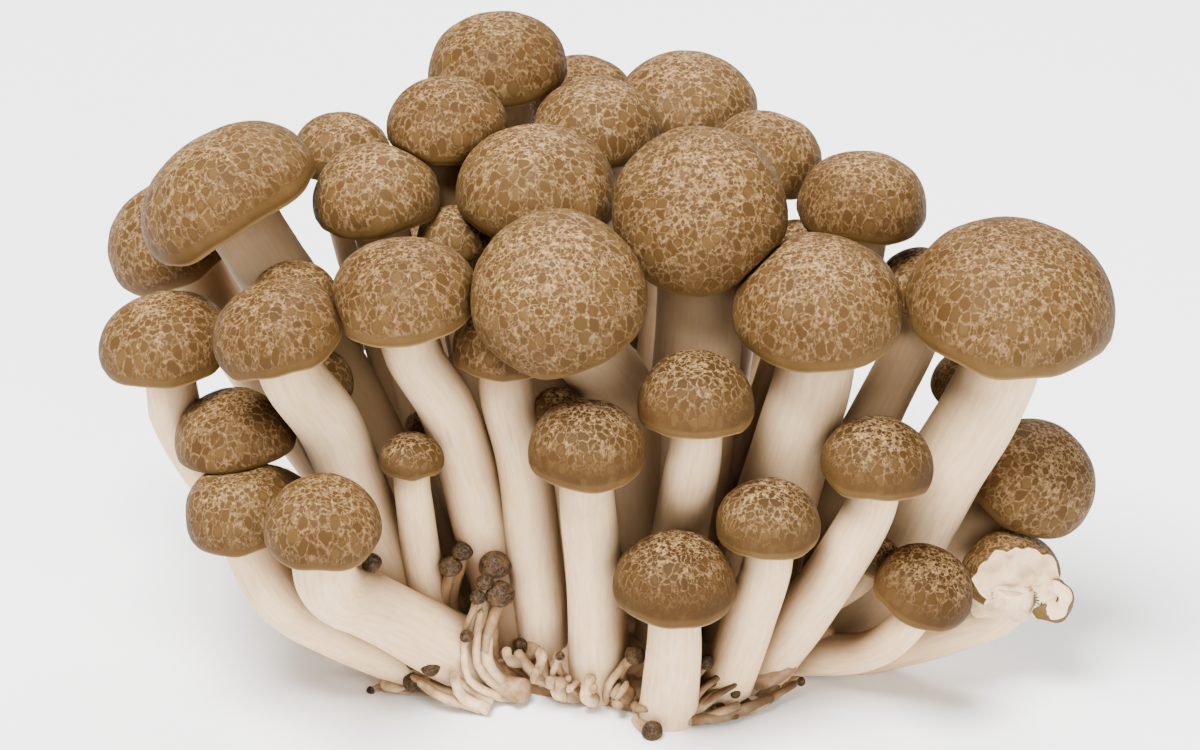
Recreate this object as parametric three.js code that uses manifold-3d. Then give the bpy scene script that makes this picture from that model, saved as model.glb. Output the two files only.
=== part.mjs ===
// A cluster of brown beech mushrooms as it is sold: many mushrooms grown from one trimmed base.
// The white body is one piece, because the stems are grown together at the foot. Each brown cap,
// with the gills under it, is a piece of its own on top of its stem.
// Millimetres. +X is to the right, +Y to the back, +Z up. The origin is in the middle of the cut
// face under the base, which the cluster stands on.

import * as THREE from 'three';
import { mergeVertices } from 'three/addons/utils/BufferGeometryUtils.js';
import Module from 'manifold-3d';

const wasm = await Module();
wasm.setup();

// Places are given as they look from the front and a little above: `across` to the right and
// `rise` upwards in that view, both at the distance of the origin, then `back` along +Y.
const LOOK_DOWN = THREE.MathUtils.degToRad(30);
const LOOK_DISTANCE = 900;
const LOOK_AHEAD = new THREE.Vector3(0, Math.cos(LOOK_DOWN), -Math.sin(LOOK_DOWN));
const LOOK_UP = new THREE.Vector3(0, Math.sin(LOOK_DOWN), Math.cos(LOOK_DOWN));
const LOOK_RIGHT = new THREE.Vector3(1, 0, 0);

const GAP = 0.35; // clear space between pieces that press on each other

// A cap's form, as shares of its radius.
const MARGIN_RADIUS = 0.93;
const MARGIN_DROP = 0.21; // the rolled margin hangs this far under the widest line
const GILL_RADIUS = 0.82;
const GILL_DROP = 0.16;
const GILL_RISE = 0.02;
const SOCKET_DROP = 0.03; // the flat that the stem's top meets
const DOME_STEPS = 3;
const CAP_SIDES = 16;
const SMALL_CAP_SIDES = 12;
const SMALL_CAP_WIDE = 15.2;

// A stem's form.
const STEM_SIDES = 7;
const STEM_RINGS = 5;
const FOOT_SWELL = 1.25;
const FOOT_DEPTH = 3; // how far a foot goes under the cut, before the cut is made
const BASE_MIDDLE = new THREE.Vector2(0, 3);
const BASE_REACH = new THREE.Vector2(26, 17); // how far from the middle plain feet may stand
const FOOT_PULL = 0.42;

// Each mushroom: where its cap's widest line has its middle, that line's width, the dome's height
// as a share of the radius, its lean to the right in the view, how far its top faces the viewer
// (30 is upright), the stem's width, and the places that the stem passes on its way to its foot.
const MUSHROOMS = {
  front_low: { at: [10.7, 11, -23], wide: 17.7, dome: 0.9, stem: 7.3,
    way: [[9.9, -5, -15.5], [9.4, -7.4, -14.5]] },
  front_right: { at: [24, 19.7, -21], wide: 15.1, dome: 0.92, stem: 7,
    way: [[21, 6, -16], [17.6, -3, -10]] },
  front_middle: { at: [13.7, 37.1, -17], wide: 16.6, dome: 0.92, stem: 7.5,
    way: [[11.6, 20, -9], [9, 3, -4]] },
  front_left: { at: [-1.9, 30, -20], wide: 17, dome: 0.92, stem: 7.7,
    way: [[-0.9, 14, -14], [0, -1, -8]] },
  right_inner: { at: [39.4, 28.3, -16], wide: 16.3, dome: 0.85, lean: 6, stem: 7.4,
    way: [[33, 13, -15], [23.5, 0.5, -6]] },
  right_large: { at: [58.6, 51, -6], wide: 30.3, dome: 0.78, lean: 8, face: 34, stem: 11,
    way: [[49, 28, -3], [37, 10, 3], [23, 1, 6]] },
  right_middle: { at: [31, 50.4, -8], wide: 24.6, dome: 0.86, face: 38, stem: 11,
    way: [[27, 30, -6], [20, 6, 0]] },
  right_far: { at: [61.7, 26.1, 2], wide: 18.3, dome: 0.9, lean: 40, face: 50, stem: 8.4,
    way: [[48, 17.5, 4], [30, 8, 4]] },
  right_low: { at: [46, 10.4, -17], wide: 14.6, dome: 0.9, lean: 24, face: 36, stem: 5.4,
    way: [[38, 2, -9], [26, 1.5, -2]] },
  right_bud: { at: [38.9, 15, -10], wide: 8.1, dome: 0.9, lean: 30, stem: 4,
    way: [[31, 8.5, -3], [22, 3, 0]] },
  right_behind: { at: [54, 39.3, 10], wide: 13.7, dome: 0.9, lean: 14, stem: 6 },
  right_sliver: { at: [46, 53.6, 9], wide: 13, dome: 0.9, stem: 7, way: [[40, 37, 7], [26, 12, 8]] },
  top_far_right: { at: [37.4, 65.4, 12], wide: 18.6, dome: 0.85, lean: 4, stem: 7.5 },
  behind_middle: { at: [28.6, 58.6, 18], wide: 11, dome: 0.9, stem: 5 },
  top_right: { at: [23.6, 72, 24], wide: 16.4, dome: 0.85, lean: 15, stem: 7 },
  top_big: { at: [12.3, 79.5, 42], wide: 20.7, dome: 0.75, stem: 8 },
  centre_upper: { at: [14.3, 64.3, 0], wide: 25.3, dome: 0.95, face: 62, stem: 12,
    way: [[14, 46, 2], [11, 20, 4]] },
  centre_large: { at: [-6, 52.6, -13], wide: 25.3, dome: 0.95, lean: -16, face: 62, stem: 10,
    way: [[3, 38, -1], [5, 14, 3]] },
  centre_low: { at: [-13.6, 45, -8], wide: 15, dome: 0.9, stem: 7.6,
    way: [[-11, 30, -8], [-8, 4, -4]] },
  centre_back: { at: [-9, 67, 9], wide: 23.3, dome: 0.85, stem: 9 },
  centre_sliver: { at: [-20.7, 60.7, 10], wide: 11, dome: 0.9, stem: 5 },
  top_middle: { at: [-0.4, 76, 27], wide: 18.3, dome: 0.85, stem: 8 },
  top_behind: { at: [-3, 80, 50], wide: 16.4, dome: 0.85, stem: 7 },
  top_high: { at: [-14.7, 84.7, 38], wide: 19.9, dome: 0.85, lean: -7, face: 27, stem: 8 },
  top_left: { at: [-22, 76.4, 22], wide: 17.6, dome: 0.85, stem: 8 },
  left_upper: { at: [-31.9, 66.4, 12], wide: 18.6, dome: 0.85, lean: -10, stem: 8 },
  left_behind: { at: [-37, 72.9, 26], wide: 14, dome: 0.85, stem: 6.5 },
  left_tall: { at: [-52.9, 66.4, 10], wide: 27, dome: 0.74, lean: -32, face: 16, stem: 10.5,
    way: [[-43, 50, 17], [-30, 26, 16]] },
  left_outer: { at: [-60.3, 60.3, 27], wide: 20.5, dome: 0.85, lean: -30, stem: 8.5,
    way: [[-50, 44, 22], [-33, 22, 18]] },
  left_wide: { at: [-62, 45.4, 0], wide: 19.3, dome: 0.78, lean: -6, stem: 7.5,
    way: [[-60, 35, 5], [-54, 26, 8], [-28, 6, 6]] },
  left_front: { at: [-45.9, 47.1, -13], wide: 19.4, dome: 0.78, lean: -18, stem: 9,
    way: [[-38.5, 34, -9], [-33, 20, -5], [-26, 6, 0]] },
  left_hidden: { at: [-43.6, 52, 2], wide: 12.5, dome: 0.9, stem: 6,
    way: [[-41, 40, 12], [-24, 12, 9]] },
  left_shaded: { at: [-41.7, 40, 1], wide: 13, dome: 0.85, stem: 6 },
  left_inner: { at: [-27.9, 52.1, -10], wide: 21.4, dome: 0.8, lean: -6, stem: 8,
    way: [[-22, 37, -8], [-16, 18, -4], [-12, 4, -2]] },
  left_mid: { at: [-52, 32, -5], wide: 17.7, dome: 0.82, lean: -10, stem: 7,
    way: [[-45, 24, 0], [-26, 6, 4]] },
  left_low: { at: [-51, 21.4, -14], wide: 16.4, dome: 0.95, lean: -15, face: 36, stem: 8,
    way: [[-45, 9.5, -13], [-38, 5.6, -10], [-29, 2.2, -6], [-20, -0.5, -2]] },
  left_nearest: { at: [-39.6, 19.3, -25], wide: 17, dome: 0.9, face: 36, stem: 9,
    way: [[-37.6, 10.6, -19], [-32.9, 8.6, -15], [-23.3, 3.6, -9], [-16, 0, -4]] },
  small_front: { at: [-26.9, 29.3, -12.5], wide: 9.4, dome: 0.8, stem: 5.2,
    way: [[-25.6, 16, -7], [-24, 7, -5]] },
  small_dark: { at: [-25, 33.6, 2], wide: 6, dome: 0.95, stem: 2.4 },
  small_hidden: { at: [-6.2, 36.6, -9], wide: 6.6, dome: 0.9, stem: 2.8 },
  rear_left: { at: [-26, 58, 50], wide: 18, dome: 0.85, face: 12, stem: 8 },
  rear_high: { at: [-6, 66, 58], wide: 19, dome: 0.85, face: 10, stem: 8 },
  rear_right: { at: [12, 62, 52], wide: 20, dome: 0.82, face: 12, stem: 8.5 },
  rear_side: { at: [27, 50, 46], wide: 17, dome: 0.85, lean: 12, face: 14, stem: 7.5 },
  rear_shaded: { at: [-40, 44, 38], wide: 13, dome: 0.88, lean: -16, face: 16, stem: 6.5 },
  rear_low: { at: [0, 46, 61], wide: 16, dome: 0.9, face: -4, stem: 7 },
  rear_low_right: { at: [17, 40, 52], wide: 14, dome: 0.9, lean: 12, face: -2, stem: 6.5 },
  rear_low_left: { at: [-16, 42, 54], wide: 15, dome: 0.9, lean: -10, face: -2, stem: 7 },
};

// The torn cap and the scrap that hangs from it by a shred of flesh.
const TORN = { at: [58.6, 12.4, -6], wide: 14.6, dome: 0.9, lean: 12, face: 34, stem: 6.4,
  way: [[50, 5, -4], [36, 2, 0], [24, 1, 2]] };
const TEAR = { at: [63.2, 7.6, -24], wide: 33 };
const SCRAP = { at: [64.4, 9.3, -8], outer: 2.8, inner: 1, deep: 3.4, from: -0.85, to: 0.5, steps: 5 };

// Pinheads: where the head is and how wide, and where its thin stem stands on the base.
const PINS = [
  [[-19.6, 16.1, -8], 3.1, [-17, 2, -5]],
  [[-21.3, 13.9, -9], 3.4, [-18, 1, -6]],
  [[-15, 14.1, -9], 4.6, [-14.2, 0, -6]],
  [[-14.3, 10, -11], 4.3, [-14, -1, -7]],
  [[-16.4, 11.7, -11], 2.6, [-16, 0, -8]],
  [[-17.4, 9.6, -12], 2.3, [-17, -1, -8]],
  [[-19, 4.1, -13], 2, [-17, -2, -8]],
  [[-32.6, 14.6, -16], 2.9, [-29, 3, -8]],
  [[-24.1, -0.1, -13], 3.1, [-20, -1, -8]],
  [[-26.7, 0.3, -11], 2, [-22, 0, -6]],
  [[-26.7, -2.4, -10], 2.9, [-22, -1, -5]],
  [[-32.6, -3.6, -7.5], 1.4, [-26, -1, -4]],
  [[-11.3, 2.9, -8], 2, [-10, -1, -5]],
  [[-5.7, 1.3, -14], 1.4, [-5, -3, -9]],
  [[5, 1.4, -16], 2.9, [4, -3, -10]],
  [[15.1, 0.4, -16], 2.3, [13, -3, -10]],
  [[7.4, -9.3, -20], 3.1, [5.5, -6, -14]],
  [[28.6, -2.3, -9], 1.4, [23, -2, -5]],
  [[25, -4.4, -10], 1.2, [21, -3, -6]],
  [[20.3, -5.6, -13], 2.6, [18, -4, -8]],
  [[16, -2.4, -15], 1.4, [14, -3, -9]],
  [[19.7, -2.6, -14], 1.6, [18, -3, -8]],
  [[19.3, -4, -15], 1.5, [17, -4, -9]],
  [[17.1, -6, -14.5], 1.5, [15, -4, -9]],
];
const STUB_SIDES = 6;
const PIN_SIDES = 5;
const PIN_HEAD_RINGS = 3;
const PIN_STEM_SHARE = 0.55; // a pin stem's width against its head's

// The joined mass that the stems grow from: middle, then half sizes.
const LUMPS = [
  [[-18, -1, 1], [13, 9, 7]],
  [[-3, 3, 2], [15, 13, 8]],
  [[8, -3, 1], [11, 11, 7]],
  [[18, 1, 1], [12, 9, 7]],
  [[2, 13, 1], [17, 10, 8]],
];
// Cut stubs of stems that were trimmed short: foot, tip and width.
const STUBS = [
  [[-20, 0, -6], [-10.5, -3.8, -12], 4.4],
  [[-24, -1, -4], [-31, -2.6, -9], 2.4],
  [[-12, 0, -4], [-17.5, 8, -9], 2.2],
  [[-11, 0, -4], [-15, 5.5, -10], 2],
  [[-10, -2, -4], [-9, 3.5, -8], 3],
  [[-6, -3, -8], [-8, 1.6, -13], 2.2],
  [[-2, -4, -8], [-3.6, -3.6, -12], 3.6],
  [[3, -3, -8], [4, -4.4, -14], 3],
  [[22, 0, -4], [27.5, 1.6, -9], 6],
  [[24, -1, -2], [33, 5.8, -4], 4],
  [[20, -2, -6], [19, -8, -14], 1.8],
  [[14, -3, -8], [22, -6, -13], 2.2],
  [[22, -2, -4], [25, -3.4, -10], 3],
];
// More pinheads round the sides and the back, at places drawn from a seeded rule.
const REAR_PINS = 11;
const REAR_SEED = 11;
// The half turns that the ring of them runs from and to, the half sizes of the rings of their feet
// and heads, and their least and most height and width.
const REAR_RING = {
  from: -0.12, to: 1.12, foot: [15, 12], head: [26, 19], rise: [2.5, 11], wide: [2, 4.2],
};

// The place that looks to be `across` and `rise` from the front, at the depth `back`.
function placeOf([across, rise, back]) {
  const cos = Math.cos(LOOK_DOWN);
  const sin = Math.sin(LOOK_DOWN);
  const height = (rise * (LOOK_DISTANCE + back * cos) - LOOK_DISTANCE * back * sin)
    / (LOOK_DISTANCE * cos + rise * sin);
  const spread = (LOOK_DISTANCE + back * cos - height * sin) / LOOK_DISTANCE;
  return { point: new THREE.Vector3(across * spread, back, height), spread };
}

// The direction that a cap's top points in.
function axisOf(lean = 0, face = 30) {
  const turn = THREE.MathUtils.degToRad(lean);
  const tip = THREE.MathUtils.degToRad(face);
  return new THREE.Vector3()
    .addScaledVector(LOOK_RIGHT, Math.cos(tip) * Math.sin(turn))
    .addScaledVector(LOOK_UP, Math.cos(tip) * Math.cos(turn))
    .addScaledVector(LOOK_AHEAD, -Math.sin(tip))
    .normalize();
}

// A closed geometry as a solid that can be joined and cut.
function solid(geometry) {
  geometry.deleteAttribute('normal');
  geometry.deleteAttribute('uv');
  const merged = mergeVertices(geometry, 1e-4);
  const corners = merged.index.array;
  const kept = [];
  for (let i = 0; i < corners.length; i += 3) {
    const [a, b, c] = corners.slice(i, i + 3);
    if (a !== b && b !== c && c !== a) {
      kept.push(a, b, c);
    }
  }
  const mesh = new wasm.Mesh({
    numProp: 3,
    vertProperties: new Float32Array(merged.attributes.position.array),
    triVerts: new Uint32Array(kept),
  });
  return new wasm.Manifold(mesh);
}

function geometryOf(body) {
  const mesh = body.getMesh();
  const geometry = new THREE.BufferGeometry();
  geometry.setAttribute('position', new THREE.BufferAttribute(new Float32Array(mesh.vertProperties), 3));
  geometry.setIndex(new THREE.BufferAttribute(new Uint32Array(mesh.triVerts), 1));
  geometry.computeVertexNormals();
  return geometry;
}

function lathe(profile, sides) {
  return new THREE.LatheGeometry(profile.map(([r, y]) => new THREE.Vector2(r, y)), sides);
}

// A cap about +Y, its widest line at y = 0: underside from the socket out to the margin, then the
// dome. Every other corner of the gill ring is raised, which makes the gills.
function capGeometry({ wide, dome, stem }, sides) {
  const radius = wide / 2;
  const socket = stem / 2 + 2 * GAP;
  const profile = [
    [0, -SOCKET_DROP * radius],
    [socket, -SOCKET_DROP * radius],
    [GILL_RADIUS * radius, -GILL_DROP * radius],
    [MARGIN_RADIUS * radius, -MARGIN_DROP * radius],
  ];
  for (let step = 0; step <= DOME_STEPS; step += 1) {
    const angle = (step / DOME_STEPS) * Math.PI / 2;
    profile.push([radius * Math.cos(angle), dome * radius * Math.sin(angle)]);
  }
  profile[profile.length - 1][0] = 0;
  const geometry = lathe(profile, sides);
  const place = geometry.attributes.position;
  const gillRing = 2;
  for (let side = 1; side < sides; side += 2) {
    place.setY(side * profile.length + gillRing, -GILL_RISE * radius);
  }
  return geometry;
}

function turnTo(geometry, axis, point) {
  const turn = new THREE.Quaternion().setFromUnitVectors(new THREE.Vector3(0, 1, 0), axis);
  geometry.applyQuaternion(turn);
  geometry.translate(point.x, point.y, point.z);
  return geometry;
}

// Where a plain stem's foot stands: nearer to the middle than its cap is.
function plainFoot(point) {
  const away = new THREE.Vector2(point.x, point.y).sub(BASE_MIDDLE).multiplyScalar(FOOT_PULL);
  const reach = Math.hypot(away.x / BASE_REACH.x, away.y / BASE_REACH.y);
  away.divideScalar(Math.max(1, reach)).add(BASE_MIDDLE);
  return new THREE.Vector3(away.x, away.y, 0);
}

// The line along the middle of a stem, from under the cut up to the cap's socket.
function stemLine(mushroom) {
  const { point } = placeOf(mushroom.at);
  const axis = axisOf(mushroom.lean, mushroom.face);
  const radius = mushroom.wide / 2;
  const top = point.clone().addScaledVector(axis, -SOCKET_DROP * radius - GAP);
  const neck = top.clone().addScaledVector(axis, -radius * 0.7);
  const route = [top, neck];
  if (mushroom.way) {
    mushroom.way.forEach((place) => route.push(placeOf(place).point));
    const last = route[route.length - 1];
    const before = route[route.length - 2];
    const slope = last.clone().sub(before).normalize();
    if (last.z > 0.1) {
      const share = Math.min(last.z / Math.max(-slope.z, 0.45), 2 * radius + last.z);
      const foot = last.clone().addScaledVector(slope, share);
      foot.z = 0;
      route.push(foot);
    }
  } else {
    const foot = plainFoot(point);
    const knee = foot.clone().lerp(neck, 0.45);
    knee.x = THREE.MathUtils.lerp(knee.x, neck.x, 0.12);
    knee.y = THREE.MathUtils.lerp(knee.y, neck.y, 0.12);
    route.push(knee, foot);
  }
  const end = route[route.length - 1];
  route.push(new THREE.Vector3(end.x * 0.97, end.y * 0.97, -FOOT_DEPTH));
  route.reverse();
  return { curve: new THREE.CatmullRomCurve3(route, false, 'centripetal'), axis };
}

// Bends a straight lathe, whose y runs from 0 to 1, along a curve.
function bend(geometry, curve, lastAxis) {
  const place = geometry.attributes.position;
  const depth = new THREE.Vector3(0, 1, 0);
  for (let i = 0; i < place.count; i += 1) {
    const share = place.getY(i);
    const middle = curve.getPointAt(share);
    const along = share > 0.999 ? lastAxis : curve.getTangentAt(share);
    const side = new THREE.Vector3().crossVectors(depth, along).normalize();
    const front = new THREE.Vector3().crossVectors(along, side);
    middle.addScaledVector(side, place.getX(i)).addScaledVector(front, -place.getZ(i));
    place.setXYZ(i, middle.x, middle.y, middle.z);
  }
  return geometry;
}

function stemGeometry(mushroom, grow = 0) {
  const { curve, axis } = stemLine(mushroom);
  const radius = mushroom.stem / 2;
  const profile = [[0, 0]];
  for (let ring = 0; ring < STEM_RINGS; ring += 1) {
    const share = ring / (STEM_RINGS - 1);
    const swell = 1 + (FOOT_SWELL - 1) * (1 - share) ** 2;
    profile.push([radius * swell + grow, share]);
  }
  profile.push([0, 1]);
  return bend(lathe(profile, STEM_SIDES), curve, axis);
}

// Joins solids into one.
function joined(solids) {
  return solids.reduce((whole, piece) => whole.add(piece));
}

// A thin straight stem from one place to another.
function rod(foot, tip, width, sides) {
  const length = foot.distanceTo(tip);
  const shape = new THREE.CylinderGeometry(width / 2, width * 0.6, length, sides);
  const along = tip.clone().sub(foot).normalize();
  return solid(turnTo(shape, along, foot.clone().lerp(tip, 0.5)));
}

function pinSolids(head, width, foot) {
  const shape = new THREE.SphereGeometry(width / 2, PIN_SIDES + 1, PIN_HEAD_RINGS);
  const along = head.clone().sub(foot).normalize();
  return [solid(turnTo(shape, along, head)), rod(foot, head, width * PIN_STEM_SHARE, PIN_SIDES)];
}

function lumpSolid([middle, half]) {
  const shape = new THREE.SphereGeometry(1, 10, 5);
  shape.scale(half[0], half[1], half[2]);
  shape.translate(...middle);
  return solid(shape);
}

// A repeatable draw from 0 to 1.
function drawer(seed) {
  let state = seed;
  return () => {
    state = (state * 16807) % 2147483647;
    return state / 2147483647;
  };
}

function rearPins() {
  const draw = drawer(REAR_SEED);
  const { from, to, foot, head, rise, wide } = REAR_RING;
  const pins = [];
  for (let i = 0; i < REAR_PINS; i += 1) {
    const turn = THREE.MathUtils.lerp(from, to, (i + draw()) / REAR_PINS) * Math.PI;
    const way = new THREE.Vector2(Math.cos(turn), Math.sin(turn));
    const out = THREE.MathUtils.lerp(1, 1.25, draw());
    const low = new THREE.Vector3(foot[0] * way.x, BASE_MIDDLE.y + foot[1] * way.y, rise[0]);
    const high = new THREE.Vector3(head[0] * out * way.x, BASE_MIDDLE.y + head[1] * out * way.y, 0);
    high.z = THREE.MathUtils.lerp(rise[0], rise[1], draw());
    pins.push(...pinSolids(high, THREE.MathUtils.lerp(wide[0], wide[1], draw()), low));
  }
  return pins;
}

// The white body, cut flat at the height of the origin.
function bodySolid(mushrooms) {
  const lumps = LUMPS.map(lumpSolid);
  const stems = mushrooms.map((mushroom) => solid(stemGeometry(mushroom)));
  const stubs = STUBS.map(([foot, tip, width]) => (
    rod(placeOf(foot).point, placeOf(tip).point, width, STUB_SIDES)
  ));
  const pins = PINS.flatMap(([head, width, foot]) => (
    pinSolids(placeOf(head).point, width, placeOf(foot).point)
  ));
  return largest(joined([...lumps, ...stems, ...stubs, ...pins, ...rearPins()]).trimByPlane([0, 0, 1], 0));
}

// Directions spread evenly over a ball.
function directions(count) {
  const turn = Math.PI * (3 - Math.sqrt(5));
  return Array.from({ length: count }, (_, i) => {
    const height = 1 - (2 * i + 1) / count;
    const out = Math.sqrt(1 - height * height);
    return new THREE.Vector3(out * Math.cos(turn * i), height, out * Math.sin(turn * i));
  });
}
const PRESS_WAYS = directions(700);

function cornersOf(body) {
  const { vertProperties } = body.getMesh();
  const corners = [];
  for (let i = 0; i < vertProperties.length; i += 3) {
    corners.push(new THREE.Vector3(vertProperties[i], vertProperties[i + 1], vertProperties[i + 2]));
  }
  return corners;
}

// Two caps that grew against each other are flat where they meet. The flat lies across the way in
// which they would have to move least to come apart.
function press(caps, one, other) {
  const from = cornersOf(caps[one]);
  const to = cornersOf(caps[other]);
  let least = null;
  for (const way of PRESS_WAYS) {
    let high = -Infinity;
    let low = Infinity;
    from.forEach((corner) => { high = Math.max(high, corner.dot(way)); });
    to.forEach((corner) => { low = Math.min(low, corner.dot(way)); });
    if (!least || high - low < least.depth) {
      least = { way, depth: high - low, middle: (high + low) / 2 };
    }
  }
  const { way, depth, middle } = least;
  if (depth > -GAP) {
    caps[one] = caps[one].trimByPlane([-way.x, -way.y, -way.z], GAP / 2 - middle);
    caps[other] = caps[other].trimByPlane([way.x, way.y, way.z], GAP / 2 + middle);
  }
}

function capSolid(mushroom) {
  const sides = mushroom.wide > SMALL_CAP_WIDE ? CAP_SIDES : SMALL_CAP_SIDES;
  const shape = capGeometry(mushroom, sides);
  return solid(turnTo(shape, axisOf(mushroom.lean, mushroom.face), placeOf(mushroom.at).point));
}

// A strip that has curled up, its hollow to the viewer.
function scrapSolid() {
  const outline = new THREE.Shape();
  outline.absarc(0, 0, SCRAP.outer, SCRAP.from * Math.PI, SCRAP.to * Math.PI, false);
  outline.absarc(0, 0, SCRAP.inner, SCRAP.to * Math.PI, SCRAP.from * Math.PI, true);
  const shape = new THREE.ExtrudeGeometry(outline, {
    depth: SCRAP.deep, bevelEnabled: false, curveSegments: SCRAP.steps,
  });
  shape.translate(0, 0, -SCRAP.deep / 2);
  shape.rotateX(Math.PI / 2 - LOOK_DOWN);
  const place = placeOf(SCRAP.at).point;
  shape.translate(place.x, place.y, place.z);
  return solid(shape);
}

// The torn cap: broken away at the front and right, with the scrap joined on.
function tornCapSolid() {
  const bite = new THREE.IcosahedronGeometry(TEAR.wide / 2, 1);
  const place = placeOf(TEAR.at).point;
  bite.translate(place.x, place.y, place.z);
  return capSolid(grown(TORN)).subtract(solid(bite)).add(scrapSolid());
}

function largest(body) {
  return body.decompose().reduce((best, piece) => (piece.volume() > best.volume() ? piece : best));
}

// All caps by name, each clear of its neighbours and of the stems that pass it.
function allCaps(mushrooms) {
  const names = Object.keys(mushrooms);
  const places = names.map((name) => placeOf(mushrooms[name].at).point);
  const caps = {};
  names.forEach((name) => {
    caps[name] = name === 'torn' ? tornCapSolid() : capSolid(mushrooms[name]);
  });
  names.forEach((name, i) => {
    for (let k = i + 1; k < names.length; k += 1) {
      const reach = (mushrooms[name].wide + mushrooms[names[k]].wide) / 2 + 1;
      if (places[i].distanceTo(places[k]) < reach) {
        press(caps, name, names[k]);
      }
    }
  });
  const stems = names.map((name) => solid(stemGeometry(mushrooms[name], GAP)));
  names.forEach((name, i) => {
    stems.forEach((stem, k) => {
      if (k !== i && caps[name].intersect(stem).volume() > 0) {
        caps[name] = largest(caps[name].subtract(stem));
      }
    });
  });
  return caps;
}

function meshOf(name, body, material) {
  const mesh = new THREE.Mesh(geometryOf(body), material);
  mesh.name = name;
  return mesh;
}

// The table gives widths as they look from the front; what stands further back is larger.
function grown(mushroom) {
  const { spread } = placeOf(mushroom.at);
  return { ...mushroom, wide: mushroom.wide * spread, stem: mushroom.stem * spread };
}

const skin = new THREE.MeshStandardMaterial({ color: 0xa07a48, roughness: 0.55, metalness: 0 });
const flesh = new THREE.MeshStandardMaterial({ color: 0xe9dfcf, roughness: 0.7, metalness: 0 });
const cluster = new THREE.Group();
const mushrooms = {};
Object.entries({ ...MUSHROOMS, torn: TORN }).forEach(([name, mushroom]) => {
  mushrooms[name] = grown(mushroom);
});
Object.entries(allCaps(mushrooms)).forEach(([name, cap]) => {
  cluster.add(meshOf(`cap_${name}`, cap, skin));
});
cluster.add(meshOf('stems_and_base', bodySolid(Object.values(mushrooms)), flesh));

export default cluster;
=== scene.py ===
"""The looks of a cluster of brown beech mushrooms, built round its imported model.

Each brown cap is made again with its fine gills and rolled margin. The white body is made again as
bent stems, a rough joined base and dark pinheads. Metres, +Z up, the front towards -Y.
"""

import math
from typing import NamedTuple

import bmesh
import bpy
import numpy as np
from mathutils import Matrix, Vector, noise
from mathutils.bvhtree import BVHTree


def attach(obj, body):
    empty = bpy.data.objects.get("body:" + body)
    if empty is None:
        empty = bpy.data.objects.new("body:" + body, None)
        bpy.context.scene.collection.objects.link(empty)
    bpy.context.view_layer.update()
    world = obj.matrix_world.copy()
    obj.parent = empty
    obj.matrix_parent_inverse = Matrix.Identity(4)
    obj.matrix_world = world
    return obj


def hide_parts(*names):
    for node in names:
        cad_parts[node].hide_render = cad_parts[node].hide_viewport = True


bl_info = {
    "name": "Beech mushroom cluster",
    "version": (1, 0, 0),
    "blender": (4, 5, 0),
    "location": "View3D > Sidebar > Mushrooms",
    "description": "Builds a cluster of brown beech mushrooms on its packed model",
    "category": "Add Mesh",
}

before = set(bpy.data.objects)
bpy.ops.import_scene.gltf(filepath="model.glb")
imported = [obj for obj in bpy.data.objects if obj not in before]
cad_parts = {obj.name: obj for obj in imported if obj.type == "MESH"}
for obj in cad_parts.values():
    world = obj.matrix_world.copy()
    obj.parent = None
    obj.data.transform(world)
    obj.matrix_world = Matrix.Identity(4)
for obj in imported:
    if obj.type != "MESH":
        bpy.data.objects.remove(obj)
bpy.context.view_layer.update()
BODY = "root"
WHITE_NODE = "stems_and_base"
MM = 0.001

# Places are given as they look from the front and a little above, in millimetres: across to the
# right, up in the view, and then the depth along +Y.
LOOK_DOWN = math.radians(30)
LOOK_DISTANCE = 900.0
LOOK_AHEAD = Vector((0, math.cos(LOOK_DOWN), -math.sin(LOOK_DOWN)))
LOOK_UP = Vector((0, math.sin(LOOK_DOWN), math.cos(LOOK_DOWN)))
LOOK_RIGHT = Vector((1, 0, 0))
VIEW_WIDTH = 1200 / 7
VIEW_MIDDLE = 290 / 7
SENSOR_WIDTH = 36.0

# The lamps: place and side in metres, then power. The world lights evenly from all round.
LAMPS = {
    "key": ((-0.25, -0.4, 1.1), 0.55, 58.0),
    "fill": ((0.45, -1.0, 0.5), 0.6, 14.0),
    "back": ((0.15, 0.7, 0.8), 0.6, 13.0),
}
WORLD_LIGHT = 0.3

# A cap's form, as shares of its radius.
MARGIN_RADIUS = 0.93
MARGIN_DROP = 0.21
LIP_RADIUS = 0.87
LIP_DROP = 0.17
SOCKET_DROP = 0.03
GILL_HEIGHT = 0.055
DOME_POWER = 2.12
DOME_STEPS = 21
MARGIN_ROLL = 0.045
# A cap with fewer gills than this has more sides to each.
MANY_GILLS = 48
# How much the drops on a cap are drawn out down its sides.
SKIN_STRETCH = 0.66

# Caps that touch are pressed flat, with this gap and softness in millimetres.
GAP = 0.1
PRESS_SOFTNESS = 0.3
PRESS_WAYS = 600

# A stem's neck is straight for this share of its cap's radius, and a plain stem bends at its knee.
NECK = 0.7
KNEE_AT = 0.45
KNEE_SWAY = 0.12
FOOT_SWELL = 1.25
FOOT_DEPTH = 3.0
BASE_MIDDLE = (0.0, 3.0)
BASE_REACH = (26.0, 17.0)
FOOT_PULL = 0.42


class Mushroom(NamedTuple):
    """at, wide: its cap's widest line; dome: height as a share of the radius; stem: its width.

    lean is to the right in the view, face is how far the top faces the viewer, where 30 is upright,
    and way holds the places that the stem passes on its way to its foot.
    """

    at: tuple
    wide: float
    dome: float
    stem: float
    lean: float = 0.0
    face: float = 30.0
    way: tuple = ()


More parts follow.
